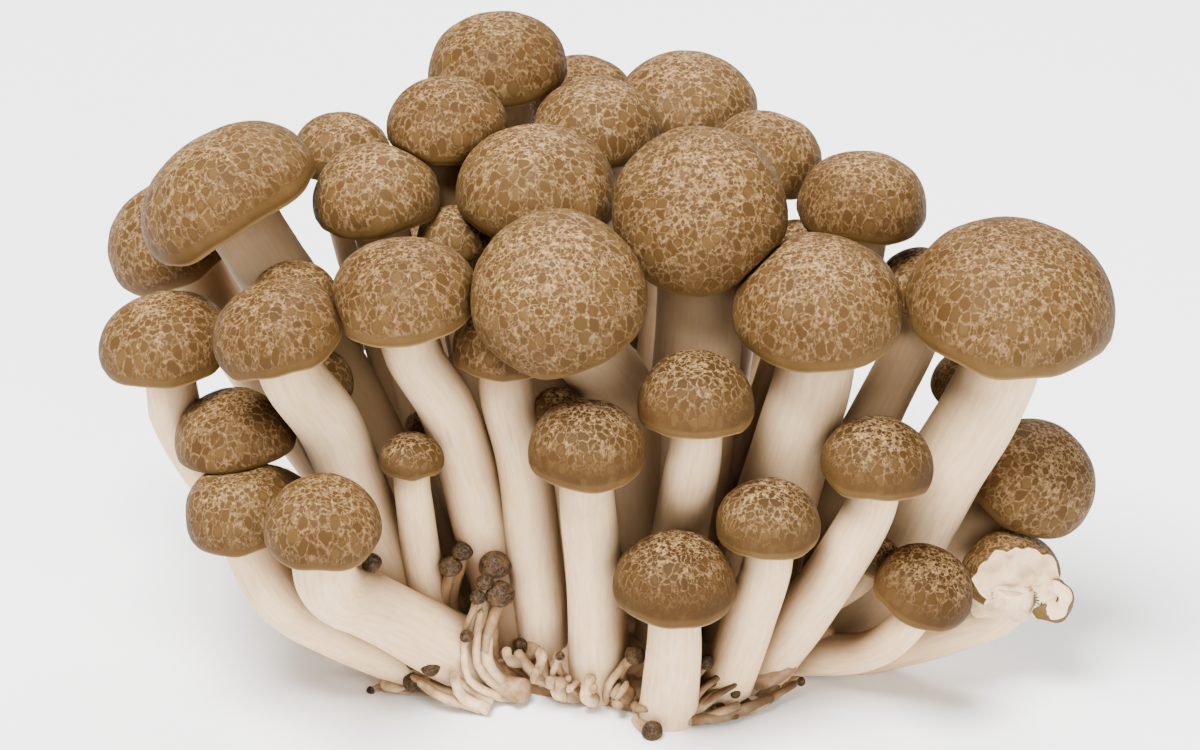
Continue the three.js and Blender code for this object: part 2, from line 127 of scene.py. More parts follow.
MUSHROOMS = {
    "front_low": Mushroom((10.7, 11, -23), 17.7, 0.9, 7.3, way=[(9.9, -5, -15.5), (9.4, -7.4, -14.5)]),
    "front_right": Mushroom((24, 19.7, -21), 15.1, 0.92, 7, way=[(21, 6, -16), (17.6, -3, -10)]),
    "front_middle": Mushroom((13.7, 37.1, -17), 16.6, 0.92, 7.5, way=[(11.6, 20, -9), (9, 3, -4)]),
    "front_left": Mushroom((-1.9, 30, -20), 17, 0.92, 7.7, way=[(-0.9, 14, -14), (0, -1, -8)]),
    "right_inner": Mushroom((39.4, 28.3, -16), 16.3, 0.85, 7.4, lean=6,
        way=[(33, 13, -15), (23.5, 0.5, -6)]),
    "right_large": Mushroom((58.6, 51, -6), 30.3, 0.78, 11, lean=8, face=34,
        way=[(49, 28, -3), (37, 10, 3), (23, 1, 6)]),
    "right_middle": Mushroom((31, 50.4, -8), 24.6, 0.86, 11, face=38, way=[(27, 30, -6), (20, 6, 0)]),
    "right_far": Mushroom((61.7, 26.1, 2), 18.3, 0.9, 8.4, lean=40, face=50,
        way=[(48, 17.5, 4), (30, 8, 4)]),
    "right_low": Mushroom((46, 10.4, -17), 14.6, 0.9, 5.4, lean=24, face=36,
        way=[(38, 2, -9), (26, 1.5, -2)]),
    "right_bud": Mushroom((38.9, 15, -10), 8.1, 0.9, 4, lean=30, way=[(31, 8.5, -3), (22, 3, 0)]),
    "right_behind": Mushroom((54, 39.3, 10), 13.7, 0.9, 6, lean=14),
    "right_sliver": Mushroom((46, 53.6, 9), 13, 0.9, 7, way=[(40, 37, 7), (26, 12, 8)]),
    "top_far_right": Mushroom((37.4, 65.4, 12), 18.6, 0.85, 7.5, lean=4),
    "behind_middle": Mushroom((28.6, 58.6, 18), 11, 0.9, 5),
    "top_right": Mushroom((23.6, 72, 24), 16.4, 0.85, 7, lean=15),
    "top_big": Mushroom((12.3, 79.5, 42), 20.7, 0.75, 8),
    "centre_upper": Mushroom((14.3, 64.3, 0), 25.3, 0.95, 12, face=62, way=[(14, 46, 2), (11, 20, 4)]),
    "centre_large": Mushroom((-6, 52.6, -13), 25.3, 0.95, 10, lean=-16, face=62,
        way=[(3, 38, -1), (5, 14, 3)]),
    "centre_low": Mushroom((-13.6, 45, -8), 15, 0.9, 7.6, way=[(-11, 30, -8), (-8, 4, -4)]),
    "centre_back": Mushroom((-9, 67, 9), 23.3, 0.85, 9),
    "centre_sliver": Mushroom((-20.7, 60.7, 10), 11, 0.9, 5),
    "top_middle": Mushroom((-0.4, 76, 27), 18.3, 0.85, 8),
    "top_behind": Mushroom((-3, 80, 50), 16.4, 0.85, 7),
    "top_high": Mushroom((-14.7, 84.7, 38), 19.9, 0.85, 8, lean=-7, face=27),
    "top_left": Mushroom((-22, 76.4, 22), 17.6, 0.85, 8),
    "left_upper": Mushroom((-31.9, 66.4, 12), 18.6, 0.85, 8, lean=-10),
    "left_behind": Mushroom((-37, 72.9, 26), 14, 0.85, 6.5),
    "left_tall": Mushroom((-52.9, 66.4, 10), 27, 0.74, 10.5, lean=-32, face=16,
        way=[(-43, 50, 17), (-30, 26, 16)]),
    "left_outer": Mushroom((-60.3, 60.3, 27), 20.5, 0.85, 8.5, lean=-30,
        way=[(-50, 44, 22), (-33, 22, 18)]),
    "left_wide": Mushroom((-62, 45.4, 0), 19.3, 0.78, 7.5, lean=-6,
        way=[(-60, 35, 5), (-54, 26, 8), (-28, 6, 6)]),
    "left_front": Mushroom((-45.9, 47.1, -13), 19.4, 0.78, 9, lean=-18,
        way=[(-38.5, 34, -9), (-33, 20, -5), (-26, 6, 0)]),
    "left_hidden": Mushroom((-43.6, 52, 2), 12.5, 0.9, 6, way=[(-41, 40, 12), (-24, 12, 9)]),
    "left_shaded": Mushroom((-41.7, 40, 1), 13, 0.85, 6),
    "left_inner": Mushroom((-27.9, 52.1, -10), 21.4, 0.8, 8, lean=-6,
        way=[(-22, 37, -8), (-16, 18, -4), (-12, 4, -2)]),
    "left_mid": Mushroom((-52, 32, -5), 17.7, 0.82, 7, lean=-10, way=[(-45, 24, 0), (-26, 6, 4)]),
    "left_low": Mushroom((-51, 21.4, -14), 16.4, 0.95, 8, lean=-15, face=36,
        way=[(-45, 9.5, -13), (-38, 5.6, -10), (-29, 2.2, -6), (-20, -0.5, -2)]),
    "left_nearest": Mushroom((-39.6, 19.3, -25), 17, 0.9, 9, face=36,
        way=[(-37.6, 10.6, -19), (-32.9, 8.6, -15), (-23.3, 3.6, -9), (-16, 0, -4)]),
    "small_front": Mushroom((-26.9, 29.3, -12.5), 9.4, 0.8, 5.2, way=[(-25.6, 16, -7), (-24, 7, -5)]),
    "small_dark": Mushroom((-25, 33.6, 2), 6, 0.95, 2.4),
    "small_hidden": Mushroom((-6.2, 36.6, -9), 6.6, 0.9, 2.8),
    "rear_left": Mushroom((-26, 58, 50), 18, 0.85, 8, face=12),
    "rear_high": Mushroom((-6, 66, 58), 19, 0.85, 8, face=10),
    "rear_right": Mushroom((12, 62, 52), 20, 0.82, 8.5, face=12),
    "rear_side": Mushroom((27, 50, 46), 17, 0.85, 7.5, lean=12, face=14),
    "rear_shaded": Mushroom((-40, 44, 38), 13, 0.88, 6.5, lean=-16, face=16),
    "rear_low": Mushroom((0, 46, 61), 16, 0.9, 7, face=-4),
    "rear_low_right": Mushroom((17, 40, 52), 14, 0.9, 6.5, lean=12, face=-2),
    "rear_low_left": Mushroom((-16, 42, 54), 15, 0.9, 7, lean=-10, face=-2),
}
PINS = [
    ((-19.6, 16.1, -8), 3.1, (-17, 2, -5)),
    ((-21.3, 13.9, -9), 3.4, (-18, 1, -6)),
    ((-15, 14.1, -9), 4.6, (-14.2, 0, -6)),
    ((-14.3, 10, -11), 4.3, (-14, -1, -7)),
    ((-16.4, 11.7, -11), 2.6, (-16, 0, -8)),
    ((-17.4, 9.6, -12), 2.3, (-17, -1, -8)),
    ((-19, 4.1, -13), 2, (-17, -2, -8)),
    ((-32.6, 14.6, -16), 2.9, (-29, 3, -8)),
    ((-24.1, -0.1, -13), 3.1, (-20, -1, -8)),
    ((-26.7, 0.3, -11), 2, (-22, 0, -6)),
    ((-26.7, -2.4, -10), 2.9, (-22, -1, -5)),
    ((-32.6, -3.6, -7.5), 1.4, (-26, -1, -4)),
    ((-11.3, 2.9, -8), 2, (-10, -1, -5)),
    ((-5.7, 1.3, -14), 1.4, (-5, -3, -9)),
    ((5, 1.4, -16), 2.9, (4, -3, -10)),
    ((15.1, 0.4, -16), 2.3, (13, -3, -10)),
    ((7.4, -9.3, -20), 3.1, (5.5, -6, -14)),
    ((28.6, -2.3, -9), 1.4, (23, -2, -5)),
    ((25, -4.4, -10), 1.2, (21, -3, -6)),
    ((20.3, -5.6, -13), 2.6, (18, -4, -8)),
    ((16, -2.4, -15), 1.4, (14, -3, -9)),
    ((19.7, -2.6, -14), 1.6, (18, -3, -8)),
    ((19.3, -4, -15), 1.5, (17, -4, -9)),
    ((17.1, -6, -14.5), 1.5, (15, -4, -9)),
]
LUMPS = [
    ((-18, -1, 1), (13, 9, 7)),
    ((-3, 3, 2), (15, 13, 8)),
    ((8, -3, 1), (11, 11, 7)),
    ((18, 1, 1), (12, 9, 7)),
    ((2, 13, 1), (17, 10, 8)),
]
STUBS = [
    ((-20, 0, -6), (-10.5, -3.8, -12), 4.4),
    ((-24, -1, -4), (-31, -2.6, -9), 2.4),
    ((-12, 0, -4), (-17.5, 8, -9), 2.2),
    ((-11, 0, -4), (-15, 5.5, -10), 2),
    ((-10, -2, -4), (-9, 3.5, -8), 3),
    ((-6, -3, -8), (-8, 1.6, -13), 2.2),
    ((-2, -4, -8), (-3.6, -3.6, -12), 3.6),
    ((3, -3, -8), (4, -4.4, -14), 3),
    ((22, 0, -4), (27.5, 1.6, -9), 6),
    ((24, -1, -2), (33, 5.8, -4), 4),
    ((20, -2, -6), (19, -8, -14), 1.8),
    ((14, -3, -8), (22, -6, -13), 2.2),
    ((22, -2, -4), (25, -3.4, -10), 3),
    ((-14.3, -4, -9.5), (-27, -1.5, -11), 1.5),
    ((-15, -4.5, -10.5), (-31.5, -3.4, -8.6), 1.2),
    ((-15.5, -5.5, -12.5), (-23, 1, -13), 1.6),
    ((-14, -4.5, -11), (-19.5, 5, -12), 1.7),
    ((-13.5, -4, -10.5), (-17, 8, -11.5), 1.5),
    ((-13, -3.5, -10), (-15.5, 7, -11), 1.8),
    ((-17, -6, -13.5), (-26, -2.2, -12.5), 1.7),
    ((-16, -6.3, -14), (-21, -1, -14.5), 1.6),
    ((-3, -4.2, -10.5), (-8.6, 2.2, -12), 2.2),
    ((-3.4, -4.4, -11), (-12, 2, -9.5), 1.8),
    ((-2.6, -4.6, -11.5), (-6.2, 1.6, -13), 1.6),
    ((-1, -5, -12.5), (-1.2, -1.5, -14.5), 2),
    ((1, -4.5, -12), (4, 0.8, -14.5), 1.7),
    ((-5, -4, -10), (-5.6, -2.4, -13.5), 2.4),
    ((2.6, -4.4, -12), (2.8, -3, -14.8), 2),
    ((12.5, -7.8, -17.5), (20, -5.5, -17), 1.5),
    ((12.5, -7.5, -17), (19.5, -2.6, -16), 1.4),
    ((12.8, -7.2, -16.5), (17, -1.5, -15.5), 1.3),
    ((13, -7.8, -17.5), (24.8, -4.5, -13), 1.5),
    ((14, -7.6, -17), (28.2, -2.4, -10), 1.4),
    ((13, -7, -16.5), (21, -0.4, -13), 1.5),
    ((14, -7.6, -17), (19.8, -7.2, -16.6), 1.2),
    ((11.8, -6.6, -16), (15, 0, -15.5), 1.4),
    ((16, -6.2, -15), (22, -5.6, -15), 1.2),
]
TORN = Mushroom(
    (58.6, 12.4, -6), 14.6, 0.9, 6.4, lean=12, face=34, way=[(50, 5, -4), (36, 2, 0), (24, 1, 2)],
)
ALL_MUSHROOMS = {**MUSHROOMS, "torn": TORN}
TEARS = ({"at": (63.2, 7.6, -24), "wide": 33.0}, {"at": (67.6, 11.2, -7), "wide": 5.6})
TORN_LUMP = {"at": (57.4, 10.3, -5.2), "half": (5.2, 4.3, 4.6)}
SCRAP = {"at": (64.4, 9.3, -8), "outer": 3.1, "inner": 0.5, "deep": 4.2, "from": -0.85, "to": 0.5}
REAR_PINS = 11
REAR_SEED = 11
REAR_RING = {
    "from": -0.12, "to": 1.12, "foot": (15, 12), "head": (26, 19), "rise": (2.5, 11), "wide": (2, 4.2),
}
PIN_STEM_SHARE = 0.72
RAGGED_STUBS = 90
RAGGED_SEED = 29
RAGGED_REACH = (29, 18)
# The base's cut face takes in each stem's foot up to this height. The stems and the stubs themselves
# end just above the face, each a step higher than the one before, so no two faces lie in one plane.
FOOT_HEIGHT = 0.5 * MM
CUT_ABOVE = 0.06 * MM
CUT_STEP = 0.002 * MM
# The most that the cut face counts as enclosed, which limits the painted shade on it.
CUT_FACE_MOST_SHADE = 0.35
# How much browner a stub is at its tip.
TIP_SOIL = 0.8
# The stubs to the right of this place and in front of it are browner.
SOILED_FROM = (9, -8)
SOILED_MORE = 0.8
# Young mushrooms, whose caps are darker and have a raised net.
YOUNG = (
    "front_low", "front_right", "front_middle", "front_left", "right_inner", "right_low",
    "small_front", "small_dark", "small_hidden", "right_bud",
)


def place_of(at):
    """The point in metres that a place in the view stands for, and how much larger it is there."""
    across, rise, back = at
    cos, sin = math.cos(LOOK_DOWN), math.sin(LOOK_DOWN)
    height = rise * (LOOK_DISTANCE + back * cos) - LOOK_DISTANCE * back * sin
    height /= LOOK_DISTANCE * cos + rise * sin
    spread = (LOOK_DISTANCE + back * cos - height * sin) / LOOK_DISTANCE
    return Vector((across * spread, back, height)) * MM, spread


def axis_of(mushroom):
    """The direction that a cap's top points in."""
    turn, tip = math.radians(mushroom.lean), math.radians(mushroom.face)
    axis = LOOK_RIGHT * (math.cos(tip) * math.sin(turn))
    axis += LOOK_UP * (math.cos(tip) * math.cos(turn))
    return (axis - LOOK_AHEAD * math.sin(tip)).normalized()


def coordinates(mesh):
    points = np.empty(len(mesh.vertices) * 3)
    mesh.vertices.foreach_get("co", points)
    return points.reshape(-1, 3)


def move_to(mesh, points):
    mesh.vertices.foreach_set("co", np.ascontiguousarray(points, dtype=np.float32).ravel())
    mesh.update()


def attribute(mesh, name, values, kind="FLOAT"):
    """Stores one value or vector for each vertex, for the materials to read."""
    layer = mesh.attributes.new(name, kind, "POINT")
    field = "value" if kind == "FLOAT" else "vector"
    layer.data.foreach_set(field, np.ascontiguousarray(values, dtype=np.float32).ravel())


def rough(points, scale, seed):
    """Smooth noise from -1 to 1 at each point."""
    shift = Vector((seed * 7.31, seed * 3.17, seed * 5.53))
    return np.array([noise.noise(Vector(p) * scale + shift) for p in points])


def mesh_from(bm, name):
    """A new mesh of what was built in bm, which is then let go."""
    mesh = bpy.data.meshes.new(name)
    bm.to_mesh(mesh)
    bm.free()
    return mesh


def ball_mesh(name, subdivisions=4):
    """A ball of even triangles, with a radius of 1."""
    bm = bmesh.new()
    bmesh.ops.create_icosphere(bm, subdivisions=subdivisions, radius=1.0)
    return mesh_from(bm, name)


def placed(name, data):
    """A new object in the scene."""
    made = bpy.data.objects.new(name, data)
    bpy.context.scene.collection.objects.link(made)
    return made


def lathe_mesh(name, profile, sides):
    """A closed surface turned about +Z from a profile of (radius, height): a grid, rolled up."""
    bm = bmesh.new()
    rows = len(profile) - 1
    bmesh.ops.create_grid(bm, x_segments=sides, y_segments=rows, size=1)
    turns = [(math.cos(2 * math.pi * i / sides), math.sin(2 * math.pi * i / sides)) for i in range(sides)]
    turns.append(turns[0])
    for corner in bm.verts:
        cos, sin = turns[round((corner.co.x + 1) / 2 * sides)]
        radius, height = profile[round((corner.co.y + 1) / 2 * rows)]
        corner.co = (radius * cos, radius * sin, height)
    bmesh.ops.remove_doubles(bm, verts=bm.verts, dist=1e-8)
    bmesh.ops.recalc_face_normals(bm, faces=bm.faces)
    return mesh_from(bm, name)


def finish_piece(mesh, material, node=None):
    """Shows a mesh as a piece that rides on the cluster and stands for a node of the frame."""
    for face in mesh.polygons:
        face.use_smooth = True
    if material:
        mesh.materials.append(material)
    piece = placed(mesh.name, mesh)
    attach(piece, BODY)
    if node:
        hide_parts(node)
    return piece


def shaded_by_solids(mesh, reach=30.0 * MM, rays=20, rounds=10):
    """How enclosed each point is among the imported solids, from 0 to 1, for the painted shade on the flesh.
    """
    corners, faces = [], []
    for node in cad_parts.values():
        start = len(corners)
        corners += [node.matrix_world @ corner.co for corner in node.data.vertices]
        faces += [[start + i for i in face.vertices] for face in node.data.polygons]
    tree = BVHTree.FromPolygons(corners, faces)
    ways = [Vector(way) for way in even_ways(rays * 2)]
    depth = []
    for corner in mesh.vertices:
        normal = corner.normal
        start = corner.co + normal * 0.9 * MM
        seen = [way for way in ways if way.dot(normal) > 0.1 and way.z > -0.6]
        hits = sum(tree.ray_cast(start, way, reach)[0] is not None for way in seen)
        depth.append(hits / max(len(seen), 1))
    depth = np.array(depth)
    ends = np.empty(len(mesh.edges) * 2, dtype=np.int32)
    mesh.edges.foreach_get("vertices", ends)
    ends = ends.reshape(-1, 2)
    for _ in range(rounds):
        total, count = depth.copy(), np.ones(len(depth))
        for one, other in ((0, 1), (1, 0)):
            np.add.at(total, ends[:, one], depth[ends[:, other]])
            np.add.at(count, ends[:, one], 1)
        depth = total / count
    return depth


def merged(meshes, name):
    """One mesh from several, with their attributes."""
    bm = bmesh.new()
    for mesh in meshes:
        bm.from_mesh(mesh)
        bpy.data.meshes.remove(mesh)
    return mesh_from(bm, name)


def cap_profile(mushroom, radius, dome_steps):
    """From the middle of the underside, round the margin and up to the crown."""
    socket = min(mushroom.stem * MM / 2 * 1.02, 0.7 * radius)
    points = [(0, -SOCKET_DROP * radius), (socket * 0.8, -SOCKET_DROP * radius)]
    steps = 9
    for i in range(steps + 1):
        share = i / steps
        sag = math.sin(share * math.pi / 2) ** 1.5
        points.append((socket + (LIP_RADIUS * radius - socket) * share,
                       -(SOCKET_DROP + (LIP_DROP - SOCKET_DROP) * sag) * radius))
    for angle in (-150, -120, -90, -60, -35):
        turn = math.radians(angle)
        points.append(((MARGIN_RADIUS - 0.02 + MARGIN_ROLL * math.cos(turn)) * radius,
                       -(MARGIN_DROP - MARGIN_ROLL - MARGIN_ROLL * math.sin(turn)) * radius))
    points.append((0.99 * radius, -0.09 * radius))
    for i in range(dome_steps + 1):
        angle = i / dome_steps * math.pi / 2
        out = max(math.cos(angle), 0) ** (2 / DOME_POWER)
        up = math.sin(angle) ** (2 / DOME_POWER)
        points.append((radius * out, mushroom.dome * radius * up))
    points[-1] = (0, points[-1][1])
    return points, socket


def downs(points, radius, dome):
    """How far down a cap each point is: 0 crown, 1 widest line, 2 under the margin, 3 gills' end."""
    out = np.hypot(points[:, 0], points[:, 1]) / radius
    up = points[:, 2] / (dome * radius)
    on_dome = 1 - 2 / math.pi * np.arcsin(np.clip(up, 0, 1) ** (DOME_POWER / 2))
    below = np.clip(-points[:, 2] / (MARGIN_DROP * radius), 0, 1)
    under = 3 - np.clip(out / MARGIN_RADIUS, 0, 1)
    return np.where(points[:, 2] >= 0, on_dome, np.where(out >= MARGIN_RADIUS - 0.025, 1 + below, under))


def cap_mesh(name, mushroom, seed, detail=1.0):
    """A cap in place: a lumpy dome, a slightly waved margin and gills."""
    spread = place_of(mushroom.at)[1]
    grown = mushroom._replace(wide=mushroom.wide * spread, stem=mushroom.stem * spread)
    radius = grown.wide / 2 * MM
    gills = 4 * round(6 + 1.1 * grown.wide * detail)
    profile, socket = cap_profile(grown, radius, int(DOME_STEPS * detail))
    mesh = lathe_mesh(name, profile, gills * 4 if gills < MANY_GILLS else gills * 2)
    points = coordinates(mesh)
    down = downs(points, radius, grown.dome)
    out = np.hypot(points[:, 0], points[:, 1])
    angle = np.arctan2(points[:, 1], points[:, 0])
    under = np.clip((out - socket) / (LIP_RADIUS * radius - socket), 0, 1)
    blade = (0.5 + 0.5 * np.cos(gills * angle)) ** 0.7
    below = (down > 2.0) & (out < LIP_RADIUS * radius)
    depth = GILL_HEIGHT * radius * (1 - 2 * blade) * np.sin(math.pi * under) ** 0.5
    points[:, 2] += np.where(below, depth, 0)
    crown = points / radius
    lump = 0.035 * rough(crown, 1.1, seed) + 0.014 * rough(crown, 3.1, seed + 40)
    points *= (1 + lump)[:, None]
    ring = np.stack([np.cos(angle), np.sin(angle), np.zeros_like(angle)], 1)
    wave = rough(ring, 1.7, seed + 80) * 0.045 * radius
    points[:, 2] += wave * np.clip(down, 0, 1.2) ** 3 * (down < 2.6)
    turn = Vector((0, 0, 1)).rotation_difference(axis_of(mushroom)).to_matrix()
    spot = place_of(mushroom.at)[0]
    attribute(mesh, "gill", np.where(below, blade, 0.5))
    attribute(mesh, "down", down)
    attribute(mesh, "skin", points * (1, 1, SKIN_STRETCH) + 0.03 * seed, "FLOAT_VECTOR")
    return mesh, points @ np.array(turn).T + np.array(spot)


def even_ways(count):
    """Directions spread evenly over a ball."""
    turn = math.pi * (3 - math.sqrt(5))
    i = np.arange(count)
    height = 1 - (2 * i + 1) / count
    out = np.sqrt(1 - height * height)
    return np.stack([out * np.cos(turn * i), out * np.sin(turn * i), height], 1)


def flatten(points, way, limit):
    """Moves what lies past a flat back behind it, with a soft edge."""
    past = points @ way - limit
    soft = PRESS_SOFTNESS * MM
    kept = -soft * np.logaddexp(0, -past / soft)
    near = past > -6 * soft
    points[near] += ((kept - past)[:, None] * way)[near]


def press_caps(caps):
    """Caps that grew against each other are flat where they meet."""
    ways = even_ways(PRESS_WAYS)
    names = list(caps)
    middles = {name: caps[name].mean(0) for name in names}
    for i, one in enumerate(names):
        for other in names[i + 1:]:
            reach = 0.45 * (np.ptp(caps[one], 0).max() + np.ptp(caps[other], 0).max()) + 2 * MM
            if np.linalg.norm(middles[one] - middles[other]) > reach:
                continue
            high = (caps[one][::6] @ ways.T).max(0)
            low = (caps[other][::6] @ ways.T).min(0)
            best = int(np.argmin(high - low))
            if high[best] - low[best] > -GAP * MM:
                middle = (high[best] + low[best]) / 2
                flatten(caps[one], ways[best], middle - GAP * MM / 2)
                flatten(caps[other], -ways[best], -middle - GAP * MM / 2)


def plain_foot(point):
    """Where a plain stem stands: nearer to the middle than its cap is."""
    away = [(point[i] / MM - BASE_MIDDLE[i]) * FOOT_PULL for i in range(2)]
    reach = max(1, math.hypot(away[0] / BASE_REACH[0], away[1] / BASE_REACH[1]))
    return Vector((away[0] / reach + BASE_MIDDLE[0], away[1] / reach + BASE_MIDDLE[1], 0)) * MM


def stem_route(mushroom):
    """The places along a stem's middle, from under the cut up to the socket."""
    point, spread = place_of(mushroom.at)
    axis = axis_of(mushroom)
    radius = mushroom.wide * spread / 2 * MM
    top = point - axis * (SOCKET_DROP * radius)
    neck = top - axis * (radius * NECK)
    route = [top, neck]
    if mushroom.way:
        route += [place_of(place)[0] for place in mushroom.way]
        last, before = route[-1], route[-2]
        slope = (last - before).normalized()
        if last.z > 0.1 * MM:
            share = min(last.z / max(-slope.z, 0.45), 2 * radius + last.z)
            foot = last + slope * share
            route.append(Vector((foot.x, foot.y, 0)))
    else:
        foot = plain_foot(point)
        knee = foot.lerp(neck, KNEE_AT)
        knee.x += (neck.x - knee.x) * KNEE_SWAY
        knee.y += (neck.y - knee.y) * KNEE_SWAY
        route += [knee, foot]
    route.append(Vector((route[-1].x * 0.97, route[-1].y * 0.97, -FOOT_DEPTH * MM)))
    return route[::-1], axis


def read_between(index, places, values):
    """Points of a line at places between its own."""
    return np.stack([np.interp(index, places, values[:, i]) for i in range(3)], 1)


def smooth_line(route, count=240):
    """A centripetal Catmull-Rom line through the route, at even steps."""
    ends = [route[0] * 2 - route[1], *route, route[-1] * 2 - route[-2]]
    places = []
    for a, b, c, d in zip(ends, ends[1:], ends[2:], ends[3:]):
        before, span, after = ((q - p).length ** 0.5 for p, q in ((a, b), (b, c), (c, d)))
        start = ((b - a) / before - (c - a) / (before + span) + (c - b) / span) * span
        end = ((c - b) / span - (d - b) / (span + after) + (d - c) / after) * span
        for i in range(40):
            t = i / 40
            places.append(b + start * t + (3 * (c - b) - 2 * start - end) * t ** 2
                          + (2 * (b - c) + start + end) * t ** 3)
    places.append(route[-1])
    line = np.array(places)
    steps = np.concatenate([[0], np.cumsum(np.linalg.norm(np.diff(line, axis=0), axis=1))])
    even = np.linspace(0, steps[-1], count)
    return read_between(even, steps, line), steps[-1]


def bend_along(points, line, last=None):
    """Bends a straight lathe, whose height runs from 0 to 1, along a line."""
    index = points[:, 2] * (len(line) - 1)
    tangents = np.gradient(line, axis=0)
    tangents /= np.linalg.norm(tangents, axis=1)[:, None]
    if last is not None:
        blend = np.clip((np.linspace(0, 1, len(line)) - 0.94) / 0.06, 0, 1)[:, None]
        tangents = tangents * (1 - blend) + np.array(last) * blend
        tangents /= np.linalg.norm(tangents, axis=1)[:, None]
    places = np.arange(len(line))
    middle, along = (read_between(index, places, values) for values in (line, tangents))
    side = np.cross(np.array([0.0, 1.0, 0.0]), along)
    side /= np.linalg.norm(side, axis=1)[:, None]
    front = np.cross(along, side)
    return middle + side * points[:, :1] + front * points[:, 1:2]


def stem_mesh(name, mushroom, seed, sides=32, rings=44):
    """A stem in place: a straight lathe, made uneven and bent along its line."""
    spread = place_of(mushroom.at)[1]
    radius = mushroom.stem * spread / 2 * MM
    route, axis = stem_route(mushroom)
    line, length = smooth_line(route)
    profile = [(0, 0)]
    for i in range(rings):
        share = i / (rings - 1)
        belly = 1 + (FOOT_SWELL - 1) * (1 - share) ** 2 + 0.05 * math.sin(math.pi * share)
        flare = 0.12 * max(0, (share - 0.93) / 0.07) ** 2
        profile.append((radius * (belly + flare), share))
    profile.append((0, 1))
    mesh = lathe_mesh(name, profile, sides)
    points = coordinates(mesh)
    share = points[:, 2].copy()
    angle = np.arctan2(points[:, 1], points[:, 0])
    grain = np.stack([np.cos(angle) * radius, np.sin(angle) * radius, share * length], 1) / MM
    bulge = 0.05 * rough(grain * (1, 1, 0.5), 0.16, seed) + 0.02 * rough(grain * (1, 1, 0.25), 0.6, seed + 9)
    points[:, :2] *= (1 + bulge)[:, None]
    move_to(mesh, bend_along(points, line, axis))
    attribute(mesh, "grain", grain * (1, 1, 0.12), "FLOAT_VECTOR")
    return mesh


def cut_flat(mesh, height=0.0, keep_below=False):
    """Cuts a mesh level at a height, closes the cut and keeps the part above it, or the part below."""
    bm = bmesh.new()
    bm.from_mesh(mesh)
    geometry = bm.verts[:] + bm.edges[:] + bm.faces[:]
    away = (0, 0, 1 if keep_below else -1)
    cut = bmesh.ops.bisect_plane(bm, geom=geometry, plane_co=(0, 0, height), plane_no=away, clear_outer=True)
    rim = [e for e in cut["geom_cut"] if isinstance(e, bmesh.types.BMEdge)]
    bmesh.ops.triangle_fill(bm, edges=rim, use_beauty=True, normal=away)
    for edge in rim:
        edge.smooth = False
    bmesh.ops.recalc_face_normals(bm, faces=bm.faces)
    bm.to_mesh(mesh)
    bm.free()


def twig_mesh(foot, tip, width, seed, sides=12, rings=9):
    """A thin bent stem from one place to another, thicker at its foot."""
    reach = (tip - foot).length
    draw = drawer(seed + 1)
    sag = Vector((draw() - 0.5, draw() - 0.5, -0.5 * draw())) * reach * 0.3
    line = smooth_line([foot, foot.lerp(tip, 0.5) + sag, tip], 60)[0]
    profile = [(0, 0)]
    profile += [(width / 2 * (1.2 - 0.3 * i / (rings - 1)), i / (rings - 1) * 0.96) for i in range(rings)]
    profile += [(width * 0.28, 0.99), (0, 1)]
    mesh = lathe_mesh("twig", profile, sides)
    points = coordinates(mesh)
    points[:, :2] *= (1 + 0.22 * rough(points * (1 / MM, 1 / MM, 8), 0.6, seed))[:, None]
    points[:, 0] *= 0.6 + 0.4 * draw()
    move_to(mesh, bend_along(points, line))
    attribute(mesh, "grain", points * (1 / MM, 1 / MM, reach / MM * 0.2), "FLOAT_VECTOR")
    soiled = draw() + (SOILED_MORE if foot.x > SOILED_FROM[0] * MM and foot.y < SOILED_FROM[1] * MM else 0)
    attribute(mesh, "tan", soiled + TIP_SOIL * np.clip((points[:, 2] - 0.6) / 0.35, 0, 1))
    return mesh


def remeshed(mesh, voxel, name):
    """The mesh as one skin, with voxels of that size."""
    piece = placed(name, mesh)
    remesh = piece.modifiers.new("skin", "REMESH")
    remesh.mode = "VOXEL"
    remesh.voxel_size = voxel
    smooth = piece.modifiers.new("ease", "SMOOTH")
    smooth.iterations = 3
    graph = bpy.context.evaluated_depsgraph_get()
    skin = bpy.data.meshes.new_from_object(piece.evaluated_get(graph))
    bpy.data.objects.remove(piece)
    skin.name = name
    return skin


def drawer(seed):
    """A repeatable draw from 0 to 1."""
    state = [seed]

    def draw():
        state[0] = state[0] * 16807 % 2147483647
        return state[0] / 2147483647

    return draw


def round_base(turn, reach, share, height):
    """A place in millimetres on a share of an oval round the middle of the base."""
    across, deep = reach[0] * share * math.cos(turn), reach[1] * share * math.sin(turn)
    return Vector((across, BASE_MIDDLE[1] + deep, height))


def rear_pins():
    """Heads, widths and feet of the pinheads round the sides and the back."""
    draw = drawer(REAR_SEED)
    ring = REAR_RING
    pins = []
    for i in range(REAR_PINS):
        turn = (ring["from"] + (ring["to"] - ring["from"]) * (i + draw()) / REAR_PINS) * math.pi
        out = 1 + 0.25 * draw()
        low, high = ring["rise"]
        foot = round_base(turn, ring["foot"], 1, low)
        head = round_base(turn, ring["head"], out, low + (high - low) * draw())
        width = ring["wide"][0] + (ring["wide"][1] - ring["wide"][0]) * draw()
        pins.append((head * MM, width * MM, foot * MM))
    return pins


def all_pins():
    pins = [(place_of(head)[0], width * MM, place_of(foot)[0]) for head, width, foot in PINS]
    return pins + rear_pins()


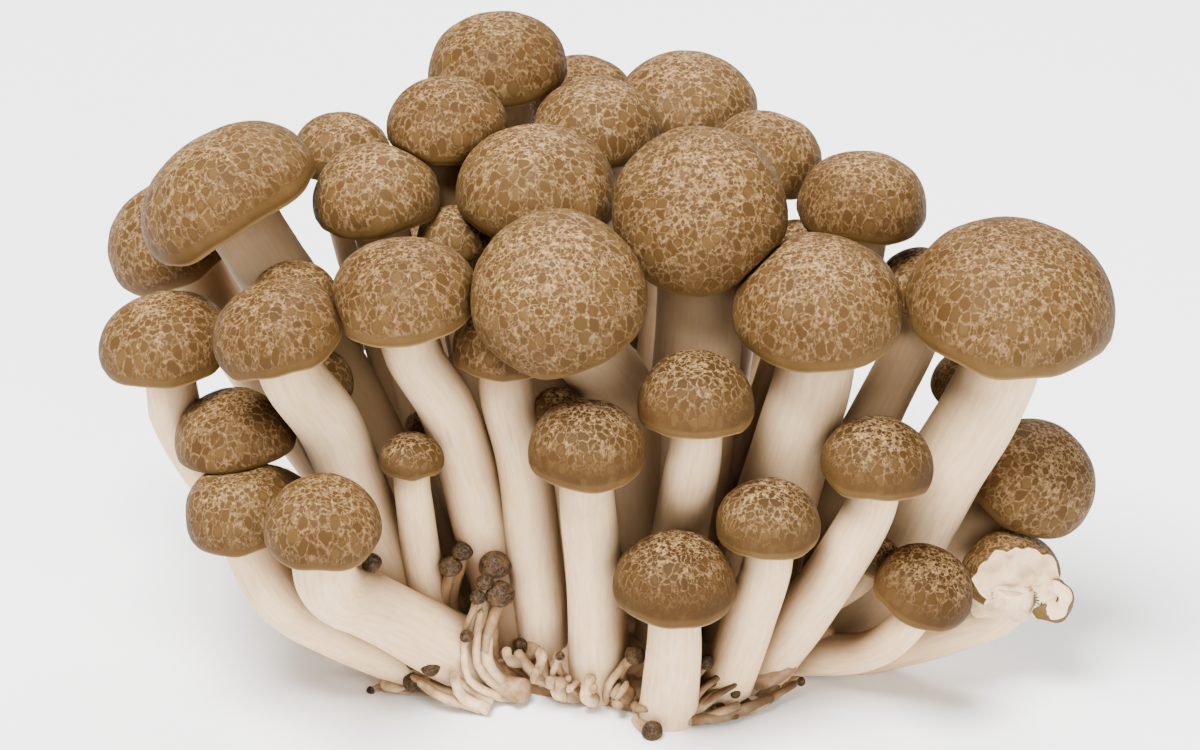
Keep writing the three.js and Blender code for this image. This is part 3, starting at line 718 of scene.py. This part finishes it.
class Nodes:
    """Short calls for building a material or a group."""

    def __init__(self, tree):
        self.tree = tree

    def add(self, kind, **settings):
        node = self.tree.nodes.new(kind)
        for name, value in settings.items():
            setattr(node, name, value)
        return node

    def link(self, source, target):
        self.tree.links.new(source, target)

    def feed(self, socket, value):
        if isinstance(value, bpy.types.NodeSocket):
            self.link(value, socket)
        elif value is not None:
            socket.default_value = value

    def math(self, kind, one, other=0.0, clamp=False):
        node = self.add("ShaderNodeMath", operation=kind, use_clamp=clamp)
        self.feed(node.inputs[0], one)
        self.feed(node.inputs[1], other)
        return node.outputs[0]

    def ramp(self, value, low, high, to_low=0.0, to_high=1.0):
        node = self.add("ShaderNodeMapRange", interpolation_type="SMOOTHSTEP")
        for socket, given in zip(node.inputs[:5], (value, low, high, to_low, to_high)):
            self.feed(socket, given)
        return node.outputs[0]

    def mix(self, share, one, other, kind="MIX"):
        node = self.add("ShaderNodeMix", data_type="RGBA", blend_type=kind)
        self.feed(node.inputs[0], share)
        self.feed(node.inputs[6], one)
        self.feed(node.inputs[7], other)
        return node.outputs[2]

    def noise(self, vector, scale, detail=3.0, rough=0.55, output="Fac"):
        node = self.add("ShaderNodeTexNoise")
        self.feed(node.inputs["Vector"], vector)
        self.feed(node.inputs["Scale"], scale)
        self.feed(node.inputs["Detail"], detail)
        self.feed(node.inputs["Roughness"], rough)
        return node.outputs[output]

    def cells(self, vector, scale, feature):
        node = self.add("ShaderNodeTexVoronoi", feature=feature)
        self.feed(node.inputs["Vector"], vector)
        self.feed(node.inputs["Scale"], scale)
        return node


def new_group(name, inputs, outputs):
    group = bpy.data.node_groups.new(name, "ShaderNodeTree")
    for label, kind, default in inputs:
        socket = group.interface.new_socket(label, in_out="INPUT", socket_type=kind)
        if default is not None:
            socket.default_value = default
    for label, kind in outputs:
        group.interface.new_socket(label, in_out="OUTPUT", socket_type=kind)
    nodes = Nodes(group)
    return group, nodes, nodes.add("NodeGroupInput").outputs, nodes.add("NodeGroupOutput").inputs


def net_group():
    """The pale net round darker drops on a cap's skin: coarse halfway down, fine at the crown."""
    group, n, given, out = new_group(
        "Cap net",
        [("Vector", "NodeSocketVector", None), ("Down", "NodeSocketFloat", 0.5),
         ("Coarse", "NodeSocketFloat", 480.0), ("Fine", "NodeSocketFloat", 1150.0),
         ("Fade", "NodeSocketFloat", 0.8)],
        [("Tint", "NodeSocketFloat"), ("Deep", "NodeSocketFloat"), ("Net", "NodeSocketFloat")])
    spot = given["Vector"]
    for scale, reach in ((520.0, 0.9 * MM), (1500.0, 0.5 * MM), (3200.0, 0.25 * MM)):
        push = n.add("ShaderNodeVectorMath", operation="MULTIPLY_ADD")
        n.link(n.noise(given["Vector"], scale, 2.0, output="Color"), push.inputs[0])
        push.inputs[1].default_value = (reach,) * 3
        n.link(spot, push.inputs[2])
        spot = push.outputs[0]

    def cells(scale):
        """Distances to a cell's edge and middle, and three random values for it."""
        edge = n.cells(spot, scale, "DISTANCE_TO_EDGE").outputs["Distance"]
        near = n.cells(spot, scale, "F1")
        hue = n.add("ShaderNodeSeparateColor")
        n.link(near.outputs["Color"], hue.inputs[0])
        return edge, near.outputs["Distance"], *hue.outputs[:3]

    edge, far, size, pick, big_tint = cells(given["Coarse"])
    lowness = n.ramp(given["Down"], 0.05, 0.55, -0.5, 0.5)
    patchy = n.math("SUBTRACT", n.noise(given["Vector"], 160.0, 2.0), 0.5)
    here = n.ramp(n.math("ADD", n.math("ADD", pick, lowness), patchy), 0.46, 0.54)
    inner = n.math("SUBTRACT", n.math("MULTIPLY", n.ramp(size, 0.0, 1.0, 0.36, 0.75), here), far)
    big = n.math("MINIMUM", n.ramp(inner, -0.06, 0.1), n.ramp(edge, 0.0, 0.12))
    round_big = n.ramp(n.math("MULTIPLY", inner, -1.0), 0.03, 0.1)
    big_deep = n.ramp(inner, 0.05, 0.3)

    edge, far, size, pick, small_tint = cells(given["Fine"])
    growth = n.ramp(given["Down"], 0.0, 0.5, 0.9, 1.0)
    inner = n.math("SUBTRACT", n.math("MULTIPLY", n.ramp(size, 0.0, 1.0, 0.3, 0.84), growth), far)
    small = n.math("MINIMUM", n.ramp(inner, -0.07, 0.1), n.ramp(edge, 0.0, 0.11))
    small = n.math("MULTIPLY", small, round_big)

    cell = n.math("MAXIMUM", big, small)
    tint = n.add("ShaderNodeMix", data_type="FLOAT")
    n.link(big, tint.inputs[0])
    n.link(small_tint, tint.inputs[2])
    n.link(big_tint, tint.inputs[3])
    n.link(tint.outputs[0], out["Tint"])
    n.link(n.math("MAXIMUM", big_deep, n.math("MULTIPLY", small, 0.35)), out["Deep"])
    mottle = n.ramp(n.noise(given["Vector"], 2400.0, 3.0, 0.65), 0.42, 0.54, 0.3, 1.0)
    low = n.ramp(given["Down"], given["Fade"], n.math("ADD", given["Fade"], 0.5), 1.0, 0.06)
    n.link(n.math("MULTIPLY", n.math("SUBTRACT", 1.0, cell), n.math("MULTIPLY", low, mottle)), out["Net"])
    return group


def fibre_group():
    """Fine fibres along a stem, with soft stains."""
    group, n, given, out = new_group(
        "Stem fibres",
        [("Grain", "NodeSocketVector", None), ("Vector", "NodeSocketVector", None)],
        [("Fibre", "NodeSocketFloat"), ("Stain", "NodeSocketFloat"), ("Fleck", "NodeSocketFloat")])
    n.link(n.noise(given["Grain"], 1.8, 5.0, 0.65), out["Fibre"])
    n.link(n.noise(given["Vector"], 110.0, 4.0, 0.6), out["Stain"])
    n.link(n.noise(given["Grain"], 0.7, 3.0, 0.5), out["Fleck"])
    return group


def principled(name, roughness, subsurface=0.0, radius=(1.0, 0.6, 0.3), gloss=0.15):
    material = bpy.data.materials.new(name)
    material.use_nodes = True
    n = Nodes(material.node_tree)
    shader = material.node_tree.nodes["Principled BSDF"]
    shader.inputs["Roughness"].default_value = roughness
    shader.inputs["Specular IOR Level"].default_value = gloss
    shader.inputs["Subsurface Weight"].default_value = subsurface
    shader.inputs["Subsurface Radius"].default_value = radius
    shader.inputs["Subsurface Scale"].default_value = 1.5 * MM
    return material, n, shader


def place_group(n, group, **inputs):
    node = n.add("ShaderNodeGroup", node_tree=group)
    for name, value in inputs.items():
        n.feed(node.inputs[name], value)
    return node


def read(n, name, output="Fac"):
    """What a mesh's attribute says, as a value or a vector."""
    return n.add("ShaderNodeAttribute", attribute_name=name).outputs[output]


def spot_of(n):
    return n.add("ShaderNodeTexCoord").outputs["Object"]


def bump(n, shader, height, distance, strength=1.0):
    node = n.add("ShaderNodeBump")
    node.inputs["Strength"].default_value = strength
    node.inputs["Distance"].default_value = distance
    n.link(height, node.inputs["Height"])
    n.link(node.outputs[0], shader.inputs["Normal"])


def skin_material(name, young, net):
    """Cap skin: cells in a paler net, a smooth margin with a pale rim, cream gills with painted shade
    between them.
    """
    colours = bpy.context.scene.cluster_colours
    material, n, shader = principled(name, 0.6, 0.06, gloss=0.07)
    down = read(n, "down")
    spot = read(n, "skin", "Vector")
    coarse, fine, fade = (760.0, 1500.0, 0.5) if young else (660.0, 1350.0, 0.8)
    marks = place_group(n, net, Vector=spot, Down=down, Coarse=coarse, Fine=fine, Fade=fade).outputs
    light = n.math("MULTIPLY", n.ramp(marks["Tint"], 0.1, 0.9, 0.0, 0.6), marks["Deep"])
    dark = n.mix(light, colours.cell, colours.cell_light)
    if young:
        dark = n.mix(n.ramp(down, 0.1, 0.8, 0.85, 0.25), dark, colours.young)
    fine_noise = n.noise(spot, 1500.0, 3.0, 0.7)
    pale = n.mix(n.ramp(fine_noise, 0.35, 0.65), colours.net_low, colours.net)
    crown = n.mix(n.ramp(down, 0.15, 0.8, 1.0, 0.6), dark, pale)
    body = n.mix(marks["Net"], dark, crown)
    drift = n.ramp(n.noise(spot, 420.0), 0.3, 0.7)
    margin = n.mix(drift, colours.margin, colours.cell_light)
    wander = n.math("MULTIPLY", n.math("SUBTRACT", n.noise(spot, 240.0), 0.5), 0.5)
    edge = n.math("ADD", down, wander)
    body = n.mix(n.ramp(edge, 0.92, 1.35, 0.0, 0.85), body, margin)
    shade = n.ramp(n.noise(spot_of(n), 38.0, 2.0), 0.42, 0.66, 0.0, 0.8)
    body = n.mix(shade, body, colours.shade, "MULTIPLY")
    body = n.mix(n.ramp(down, 1.7, 1.95), body, colours.rim)
    # Painted shade: the grooves between the gills are darkened.
    gills = n.mix(n.ramp(read(n, "gill"), 0.15, 0.75), colours.gill_groove_shade, colours.gill)
    body = n.mix(n.ramp(down, 2.02, 2.12), body, gills)
    n.link(body, shader.inputs["Base Color"])
    relief = n.math("ADD", marks["Net"], n.math("MULTIPLY", fine_noise, 0.35))
    bump(n, shader, relief, 0.12 * MM if young else 0.07 * MM, 0.7)
    return material


def flesh_material(name, fibres, dark=0.0):
    """Stem flesh: cream with fine fibres along it, soft tan stains and painted shade where it is enclosed in
    the cluster.
    """
    colours = bpy.context.scene.cluster_colours
    material, n, shader = principled(name, 0.62, 0.12, (1.0, 0.75, 0.5))
    grain = read(n, "grain", "Vector")
    spot = spot_of(n)
    marks = place_group(n, fibres, Grain=grain, Vector=spot).outputs
    body = n.mix(n.ramp(marks["Fibre"], 0.32, 0.68), colours.flesh_low, colours.flesh)
    body = n.mix(n.ramp(marks["Stain"], 0.52, 0.78, 0.0, 0.4), body, colours.stain)
    body = n.mix(n.ramp(marks["Fleck"], 0.62, 0.8, 0.0, 0.45), body, colours.stain)
    # Painted shade: the flesh darkens towards the inner shade colour where it is enclosed by the other
    # solids.
    body = n.mix(n.ramp(read(n, "inside"), 0.22, 0.9, 0.0, 0.92), body, colours.inner)
    if dark:
        wander = n.ramp(n.noise(spot, 420.0, 4.0, 0.65), 0.3, 0.7, 0.45, 1.0)
        tan = read(n, "tan")
        soil = n.math("MULTIPLY", n.ramp(tan, 0.15, 1.1, 0.0, 0.95), wander)
        body = n.mix(soil, body, colours.soil)
        body = n.mix(n.ramp(tan, 1.2, 2.2, 0.0, 0.85), body, colours.young)
        body = n.mix(n.ramp(n.noise(spot, 700.0, 4.0, 0.7), 0.45, 0.75, 0.0, dark), body, colours.scar)
    n.link(body, shader.inputs["Base Color"])
    bump(n, shader, marks["Fibre"], 0.12 * MM, 0.6)
    return material


def pinhead_material(name, net):
    """Pinhead skin: dark brown with a faint paler net."""
    colours = bpy.context.scene.cluster_colours
    material, n, shader = principled(name, 0.55, 0.05)
    spot = spot_of(n)
    marks = place_group(n, net, Vector=spot, Down=0.2, Coarse=1500.0, Fine=3200.0, Fade=0.8).outputs
    blotch = n.ramp(n.noise(spot, 500.0), 0.4, 0.7)
    body = n.mix(n.math("MULTIPLY", blotch, 0.6), colours.pin, colours.cell)
    body = n.mix(n.math("MULTIPLY", marks["Net"], 0.35), body, colours.net_low)
    n.link(body, shader.inputs["Base Color"])
    bump(n, shader, marks["Net"], 0.05 * MM, 0.6)
    return material


def scrap_material(name, fibres):
    """Torn flesh: white and rough, with skin left where the mesh says so."""
    colours = bpy.context.scene.cluster_colours
    material, n, shader = principled(name, 0.6, 0.12)
    spot = spot_of(n)
    marks = place_group(n, fibres, Grain=spot, Vector=spot).outputs
    body = n.mix(n.ramp(marks["Stain"], 0.35, 0.7, 0.0, 0.35), colours.flesh, colours.stain)
    crease = n.noise(spot, 330.0, 5.0, 0.65)
    body = n.mix(n.ramp(crease, 0.52, 0.72, 0.0, 0.8), body, colours.stain)
    wander = n.math("SUBTRACT", n.noise(spot, 600.0), 0.5)
    crust = n.math("ADD", read(n, "crust"), wander)
    body = n.mix(n.ramp(crust, 0.4, 0.6), body, colours.margin)
    n.link(body, shader.inputs["Base Color"])
    bump(n, shader, crease, 0.9 * MM, 0.8)
    return material


def bitten(mesh, skin, flesh):
    """The torn cap, with rough balls of it broken away down to the white flesh."""
    mesh.materials.append(skin)
    cap = placed("whole_cap", mesh)
    balls = []
    for seed, tear in enumerate(TEARS):
        ball = ball_mesh("bite", 6 - seed)
        points = coordinates(ball)
        reach = tear["wide"] / 2 * MM
        lumps = 0.15 * rough(points, 3.4, seed + 3) + 0.08 * rough(points, 10.0, seed + 5)
        lumps += 0.016 * rough(points, 45.0, seed + 7)
        move_to(ball, points * (reach * (1 + lumps))[:, None] + np.array(place_of(tear["at"])[0]))
        ball.materials.append(flesh)
        balls.append(placed("bite", ball))
        cut = cap.modifiers.new("bite", "BOOLEAN")
        cut.operation = "DIFFERENCE"
        cut.solver = "EXACT"
        cut.material_mode = "TRANSFER"
        cut.object = balls[-1]
    graph = bpy.context.evaluated_depsgraph_get()
    torn = bpy.data.meshes.new_from_object(cap.evaluated_get(graph))
    for used in (cap, *balls):
        bpy.data.objects.remove(used)
    torn.name = "cap_torn_skin"
    return torn


def torn_lump_mesh():
    """The rough swelling of flesh left in the torn cap, over its stem."""
    mesh = lump_mesh(place_of(TORN_LUMP["at"])[0] / MM, TORN_LUMP["half"])
    points = coordinates(mesh)
    middle = points.mean(axis=0)
    swell = 1 + 0.2 * rough(points, 330.0, 3) + 0.08 * rough(points, 900.0, 5)
    swell += 0.03 * rough(points, 2600.0, 8)
    move_to(mesh, middle + (points - middle) * swell[:, None])
    mesh.name = "torn_flesh_lump"
    return mesh


def scrap_mesh():
    """The curled scrap of flesh with a brown rim that hangs on the torn cap."""
    bm = bmesh.new()
    outer, inner, half = SCRAP["outer"] * MM, SCRAP["inner"] * MM, SCRAP["deep"] * MM / 2
    corners = [(inner, -half, 0), (outer, -half, 0), (outer, half, 0), (inner, half, 0)]
    face = bm.faces.new([bm.verts.new(corner) for corner in corners])
    bmesh.ops.rotate(bm, verts=bm.verts, matrix=Matrix.Rotation(-SCRAP["from"] * math.pi, 3, "Y"))
    bmesh.ops.spin(bm, geom=[face, *face.edges, *face.verts], cent=(0, 0, 0), axis=(0, -1, 0),
                   angle=(SCRAP["to"] - SCRAP["from"]) * math.pi, steps=24)
    bmesh.ops.recalc_face_normals(bm, faces=bm.faces)
    bmesh.ops.subdivide_edges(bm, edges=bm.edges, cuts=3, use_grid_fill=True)
    for _ in range(4):
        bmesh.ops.smooth_vert(
            bm, verts=bm.verts, factor=0.5, use_axis_x=True, use_axis_y=True, use_axis_z=True)
    mesh = mesh_from(bm, "scrap_of_cap")
    points = coordinates(mesh)
    out = np.hypot(points[:, 0], points[:, 2])
    angle = np.arctan2(points[:, 2], points[:, 0]) / math.pi
    depth = (0.25 + 1.6 * np.clip((-0.5 - angle) / 0.2, 0, 1)) * MM
    crust = np.clip((out - (outer - 0.45 * MM - depth)) / (0.3 * MM), 0, 1)
    points += 0.55 * MM * np.stack([rough(points, 420.0, seed) for seed in (1, 2, 3)], 1)
    turned = np.array(Matrix.Rotation(-LOOK_DOWN, 3, "X"))
    move_to(mesh, points @ turned.T + np.array(place_of(SCRAP["at"])[0]))
    attribute(mesh, "crust", crust)
    return mesh


def lump_mesh(middle, half):
    """A rounded lump: its middle and its half sizes are in millimetres."""
    bm = bmesh.new()
    bmesh.ops.create_icosphere(bm, subdivisions=4, radius=1.0)
    bmesh.ops.scale(bm, vec=half, verts=bm.verts)
    bmesh.ops.translate(bm, vec=middle, verts=bm.verts)
    bmesh.ops.scale(bm, vec=(MM, MM, MM), verts=bm.verts)
    return mesh_from(bm, "lump")


def ragged_stubs():
    """Torn ends of small stems round the edge of the base."""
    draw = drawer(RAGGED_SEED)
    meshes = []
    for i in range(RAGGED_STUBS):
        turn = 2 * math.pi * (i + draw()) / RAGGED_STUBS
        edge = 0.6 + 0.3 * draw()
        foot = round_base(turn, RAGGED_REACH, edge, 1 + 4.5 * draw())
        out = Vector((math.cos(turn), 0.8 * math.sin(turn), 0.1 + 1.1 * draw())).normalized()
        tip = foot + out * (2.5 + 4.5 * draw())
        tip.z = max(tip.z, 0.9)
        meshes.append(twig_mesh(foot * MM, tip * MM, (0.9 + 1.0 * draw()) * MM, i, 8, 6))
    return meshes


def pin_head_mesh(head, width, foot, seed):
    """A pinhead: a small unopened cap on its thin stem."""
    mesh = ball_mesh("pinhead")
    points = coordinates(mesh)
    points[:, 2] = np.where(points[:, 2] < 0, points[:, 2] * 0.55, points[:, 2] * 0.95)
    points *= (1 + 0.07 * rough(points, 1.4, seed))[:, None]
    turn = Vector((0, 0, 1)).rotation_difference(head - foot).to_matrix()
    move_to(mesh, points * width / 2 @ np.array(turn).T + np.array(head))
    attribute(mesh, "down", np.full(len(points), 0.3))
    return mesh


class ClusterShape(bpy.types.PropertyGroup):
    """Sizes that may be changed before the pieces are built."""

    base_voxel: bpy.props.FloatProperty(
        name="Base grain", description="Voxel size of the joined base", default=0.45 * MM,
        min=0.3 * MM, precision=5, unit="LENGTH")
    cap_detail: bpy.props.FloatProperty(
        name="Cap detail", description="Share of the full number of gills and rings", default=1.0,
        min=0.4, max=1.5, subtype="FACTOR")
    floor_side: bpy.props.FloatProperty(
        name="Floor side", description="Length of the floor's sides", default=6.0, min=1.0, unit="LENGTH")


def colour(name, text, value):
    return bpy.props.FloatVectorProperty(
        name=name, description=text, subtype="COLOR", size=4, min=0, max=1, default=(*value, 1))


class ClusterColours(bpy.types.PropertyGroup):
    """Colours of the skin and the flesh, as linear values."""

    cell: colour("Cell", "Dark cells on the caps", (0.062, 0.0300, 0.0080))
    cell_light: colour("Light cell", "The lightest cells on the caps", (0.116, 0.0640, 0.0200))
    shade: colour("Darker caps", "What the darker caps are multiplied by", (0.720, 0.660, 0.580))
    young: colour("Young skin", "What young caps are darkened with", (0.032, 0.0148, 0.0036))
    net: colour("Net", "Pale net on the caps", (0.320, 0.200, 0.096))
    net_low: colour("Net in grooves", "Darker flecks in the net", (0.165, 0.094, 0.036))
    margin: colour("Margin", "Smooth skin near the margin", (0.098, 0.0520, 0.0140))
    rim: colour("Rim", "Thin pale rim", (0.230, 0.140, 0.055))
    gill: colour("Gills", "Gills under the caps", (0.640, 0.470, 0.300))
    # Painted shade in the grooves between the gills.
    gill_groove_shade: colour("Between the gills", "The darker grooves between the gills", (0.300, 0.190, 0.100))
    flesh: colour("Flesh", "Stems and torn flesh", (0.770, 0.560, 0.345))
    flesh_low: colour("Flesh in grooves", "Between the fibres", (0.680, 0.460, 0.250))
    stain: colour("Stain", "Soft tan stains", (0.430, 0.260, 0.125))
    # Painted shade, not a colour of the flesh: enclosed stems and base are darkened towards it.
    inner: colour("Painted inner shade", "Painted shade on flesh enclosed in the cluster", (0.150, 0.080, 0.032))
    soil: colour("Soiled flesh", "The brown tinge of the base's stubs", (0.185, 0.098, 0.040))
    scar: colour("Scar", "Brown specks on the base", (0.150, 0.080, 0.035))
    pin: colour("Pinhead", "Dark caps of the pinheads", (0.010, 0.0055, 0.003))
    floor: colour("Floor", "The floor", (0.930, 0.930, 0.930))


def materials():
    """The materials by name, made once."""
    made = bpy.data.materials
    if "cap_skin_grown" not in made:
        net, fibres = net_group(), fibre_group()
        skin_material("cap_skin_grown", False, net)
        skin_material("cap_skin_young", True, net)
        pinhead_material("pinhead_skin", net)
        flesh_material("stem_flesh", fibres)
        flesh_material("base_flesh", fibres, 0.5)
        scrap_material("torn_flesh", fibres)
    return made


class MUSHROOMS_OT_caps(bpy.types.Operator):
    """Makes the brown caps, pressed flat where they touch, and breaks the torn one"""

    bl_idname = "mushrooms.caps"
    bl_label = "Brown caps"

    def execute(self, context):
        made = materials()
        detail = context.scene.cluster_shape.cap_detail
        meshes, places = {}, {}
        for seed, (name, mushroom) in enumerate(ALL_MUSHROOMS.items()):
            meshes[name], places[name] = cap_mesh(f"cap_{name}_skin", mushroom, seed, detail)
        press_caps(places)
        for name, mesh in meshes.items():
            move_to(mesh, places[name])
            skin = made["cap_skin_young" if name in YOUNG else "cap_skin_grown"]
            if name == "torn":
                mesh, skin = bitten(mesh, skin, made["torn_flesh"]), None
            finish_piece(mesh, skin, f"cap_{name}")
        finish_piece(torn_lump_mesh(), made["torn_flesh"], "cap_torn")
        finish_piece(scrap_mesh(), made["torn_flesh"], "cap_torn")
        return {"FINISHED"}


class MUSHROOMS_OT_stems(bpy.types.Operator):
    """Makes the bent white stems"""

    bl_idname = "mushrooms.stems"
    bl_label = "Stems"

    def execute(self, context):
        stems = [stem_mesh(name, mushroom, seed)
                 for seed, (name, mushroom) in enumerate(ALL_MUSHROOMS.items())]
        for number, stem in enumerate(stems):
            foot = stem.copy()
            foot.name = f"foot_{number}"
            cut_flat(foot, FOOT_HEIGHT, keep_below=True)
            cut_flat(stem, CUT_ABOVE + number * CUT_STEP)
        mesh = merged(stems, "stems")
        # How enclosed each point is, which the material paints as shade.
        attribute(mesh, "inside", shaded_by_solids(mesh))
        finish_piece(mesh, materials()["stem_flesh"], WHITE_NODE)
        return {"FINISHED"}


class MUSHROOMS_OT_base(bpy.types.Operator):
    """Makes the joined base with its torn ends and the pinheads' stems"""

    bl_idname = "mushrooms.base"
    bl_label = "Base"

    def execute(self, context):
        voxel = context.scene.cluster_shape.base_voxel
        feet = [mesh for mesh in bpy.data.meshes if mesh.name.startswith("foot_")]
        base = remeshed(merged([*(lump_mesh(*lump) for lump in LUMPS), *feet], "lumps"), voxel, "base")
        points = coordinates(base)
        normals = np.empty(len(points) * 3)
        base.vertices.foreach_get("normal", normals)
        height = 0.7 * MM * rough(points, 260.0, 6) + 0.3 * MM * rough(points, 800.0, 7)
        above = np.clip(points[:, 2] / MM, 0, 1)
        move_to(base, points + normals.reshape(-1, 3) * (height * above)[:, None])
        attribute(base, "grain", coordinates(base) / MM * (1, 1, 0.4), "FLOAT_VECTOR")
        attribute(base, "tan", np.full(len(points), 0.5))
        cut_flat(base)
        parts = ragged_stubs()
        for foot, tip, width in STUBS:
            parts.append(twig_mesh(place_of(foot)[0], place_of(tip)[0], width * MM, len(parts), 16))
        for head, width, foot in all_pins():
            parts.append(twig_mesh(foot, head, width * PIN_STEM_SHARE, len(parts)))
        for number, part in enumerate(parts):
            cut_flat(part, CUT_ABOVE + number * CUT_STEP)
        mesh = merged([base, *parts], "base")
        # How enclosed each point is, which the material paints as shade; the cut face gets less of it.
        inside = shaded_by_solids(mesh)
        on_face = coordinates(mesh)[:, 2] < CUT_ABOVE / 2
        attribute(mesh, "inside", np.where(on_face, np.minimum(inside, CUT_FACE_MOST_SHADE), inside))
        finish_piece(mesh, materials()["base_flesh"], WHITE_NODE)
        return {"FINISHED"}


class MUSHROOMS_OT_pinheads(bpy.types.Operator):
    """Makes the dark heads of the mushrooms that stayed small"""

    bl_idname = "mushrooms.pinheads"
    bl_label = "Pinheads"

    def execute(self, context):
        heads = [pin_head_mesh(*pin, seed) for seed, pin in enumerate(all_pins())]
        for head in heads:
            cut_flat(head)
        mesh = merged(heads, "pinheads")
        finish_piece(mesh, materials()["pinhead_skin"], WHITE_NODE)
        return {"FINISHED"}


class MUSHROOMS_OT_stage(bpy.types.Operator):
    """Sets up the floor, the soft light and the camera"""

    bl_idname = "mushrooms.stage"
    bl_label = "Stage"

    def execute(self, context):
        scene = context.scene
        side = scene.cluster_shape.floor_side
        bm = bmesh.new()
        bmesh.ops.create_grid(bm, x_segments=1, y_segments=1, size=side / 2)
        mesh = mesh_from(bm, "floor")
        material, _, shader = principled("floor_paper", 0.8)
        shader.inputs["Base Color"].default_value = scene.cluster_colours.floor
        mesh.materials.append(material)
        floor = placed("floor", mesh)

        world = bpy.data.worlds.new("studio")
        world.use_nodes = True
        back = world.node_tree.nodes["Background"]
        back.inputs["Color"].default_value = (1, 1, 1, 1)
        back.inputs["Strength"].default_value = WORLD_LIGHT
        scene.world = world
        for name, (spot, size, power) in LAMPS.items():
            lamp = bpy.data.lights.new(name, "AREA")
            lamp.size = size
            lamp.energy = power
            light = placed(name, lamp)
            light.location = spot
            light.rotation_euler = (Vector((0, 0, 0.04)) - Vector(spot)).to_track_quat("-Z", "Y").to_euler()

        lens = bpy.data.cameras.new("camera")
        lens.sensor_width = SENSOR_WIDTH
        lens.lens = SENSOR_WIDTH * math.hypot(LOOK_DISTANCE, VIEW_MIDDLE) / VIEW_WIDTH
        lens.clip_start = 0.05
        camera = placed("camera", lens)
        camera.location = LOOK_AHEAD * -LOOK_DISTANCE * MM
        aim = LOOK_UP * VIEW_MIDDLE * MM - camera.location
        camera.rotation_euler = aim.to_track_quat("-Z", "Y").to_euler()
        scene.camera = camera
        return {"FINISHED"}


PIECES = (
    MUSHROOMS_OT_caps, MUSHROOMS_OT_stems, MUSHROOMS_OT_base, MUSHROOMS_OT_pinheads, MUSHROOMS_OT_stage,
)


class MUSHROOMS_PT_panel(bpy.types.Panel):
    """Lists the pieces with their sizes and colours"""

    bl_idname = "MUSHROOMS_PT_panel"
    bl_label = "Beech mushrooms"
    bl_space_type = "VIEW_3D"
    bl_region_type = "UI"
    bl_category = "Mushrooms"

    def draw(self, context):
        for settings in (context.scene.cluster_shape, context.scene.cluster_colours):
            for name in settings.bl_rna.properties.keys():
                if name not in ("name", "rna_type"):
                    self.layout.prop(settings, name)
        for piece in PIECES:
            self.layout.operator(piece.bl_idname)


CLASSES = (ClusterShape, ClusterColours, *PIECES, MUSHROOMS_PT_panel)


def register():
    for made in CLASSES:
        bpy.utils.register_class(made)
    bpy.types.Scene.cluster_shape = bpy.props.PointerProperty(type=ClusterShape)
    bpy.types.Scene.cluster_colours = bpy.props.PointerProperty(type=ClusterColours)


def unregister():
    del bpy.types.Scene.cluster_colours
    del bpy.types.Scene.cluster_shape
    for made in reversed(CLASSES):
        bpy.utils.unregister_class(made)


def main():
    register()
    bpy.ops.mushrooms.caps()
    bpy.ops.mushrooms.stems()
    bpy.ops.mushrooms.base()
    bpy.ops.mushrooms.pinheads()
    bpy.ops.mushrooms.stage()


if __name__ == "__main__":
    main()
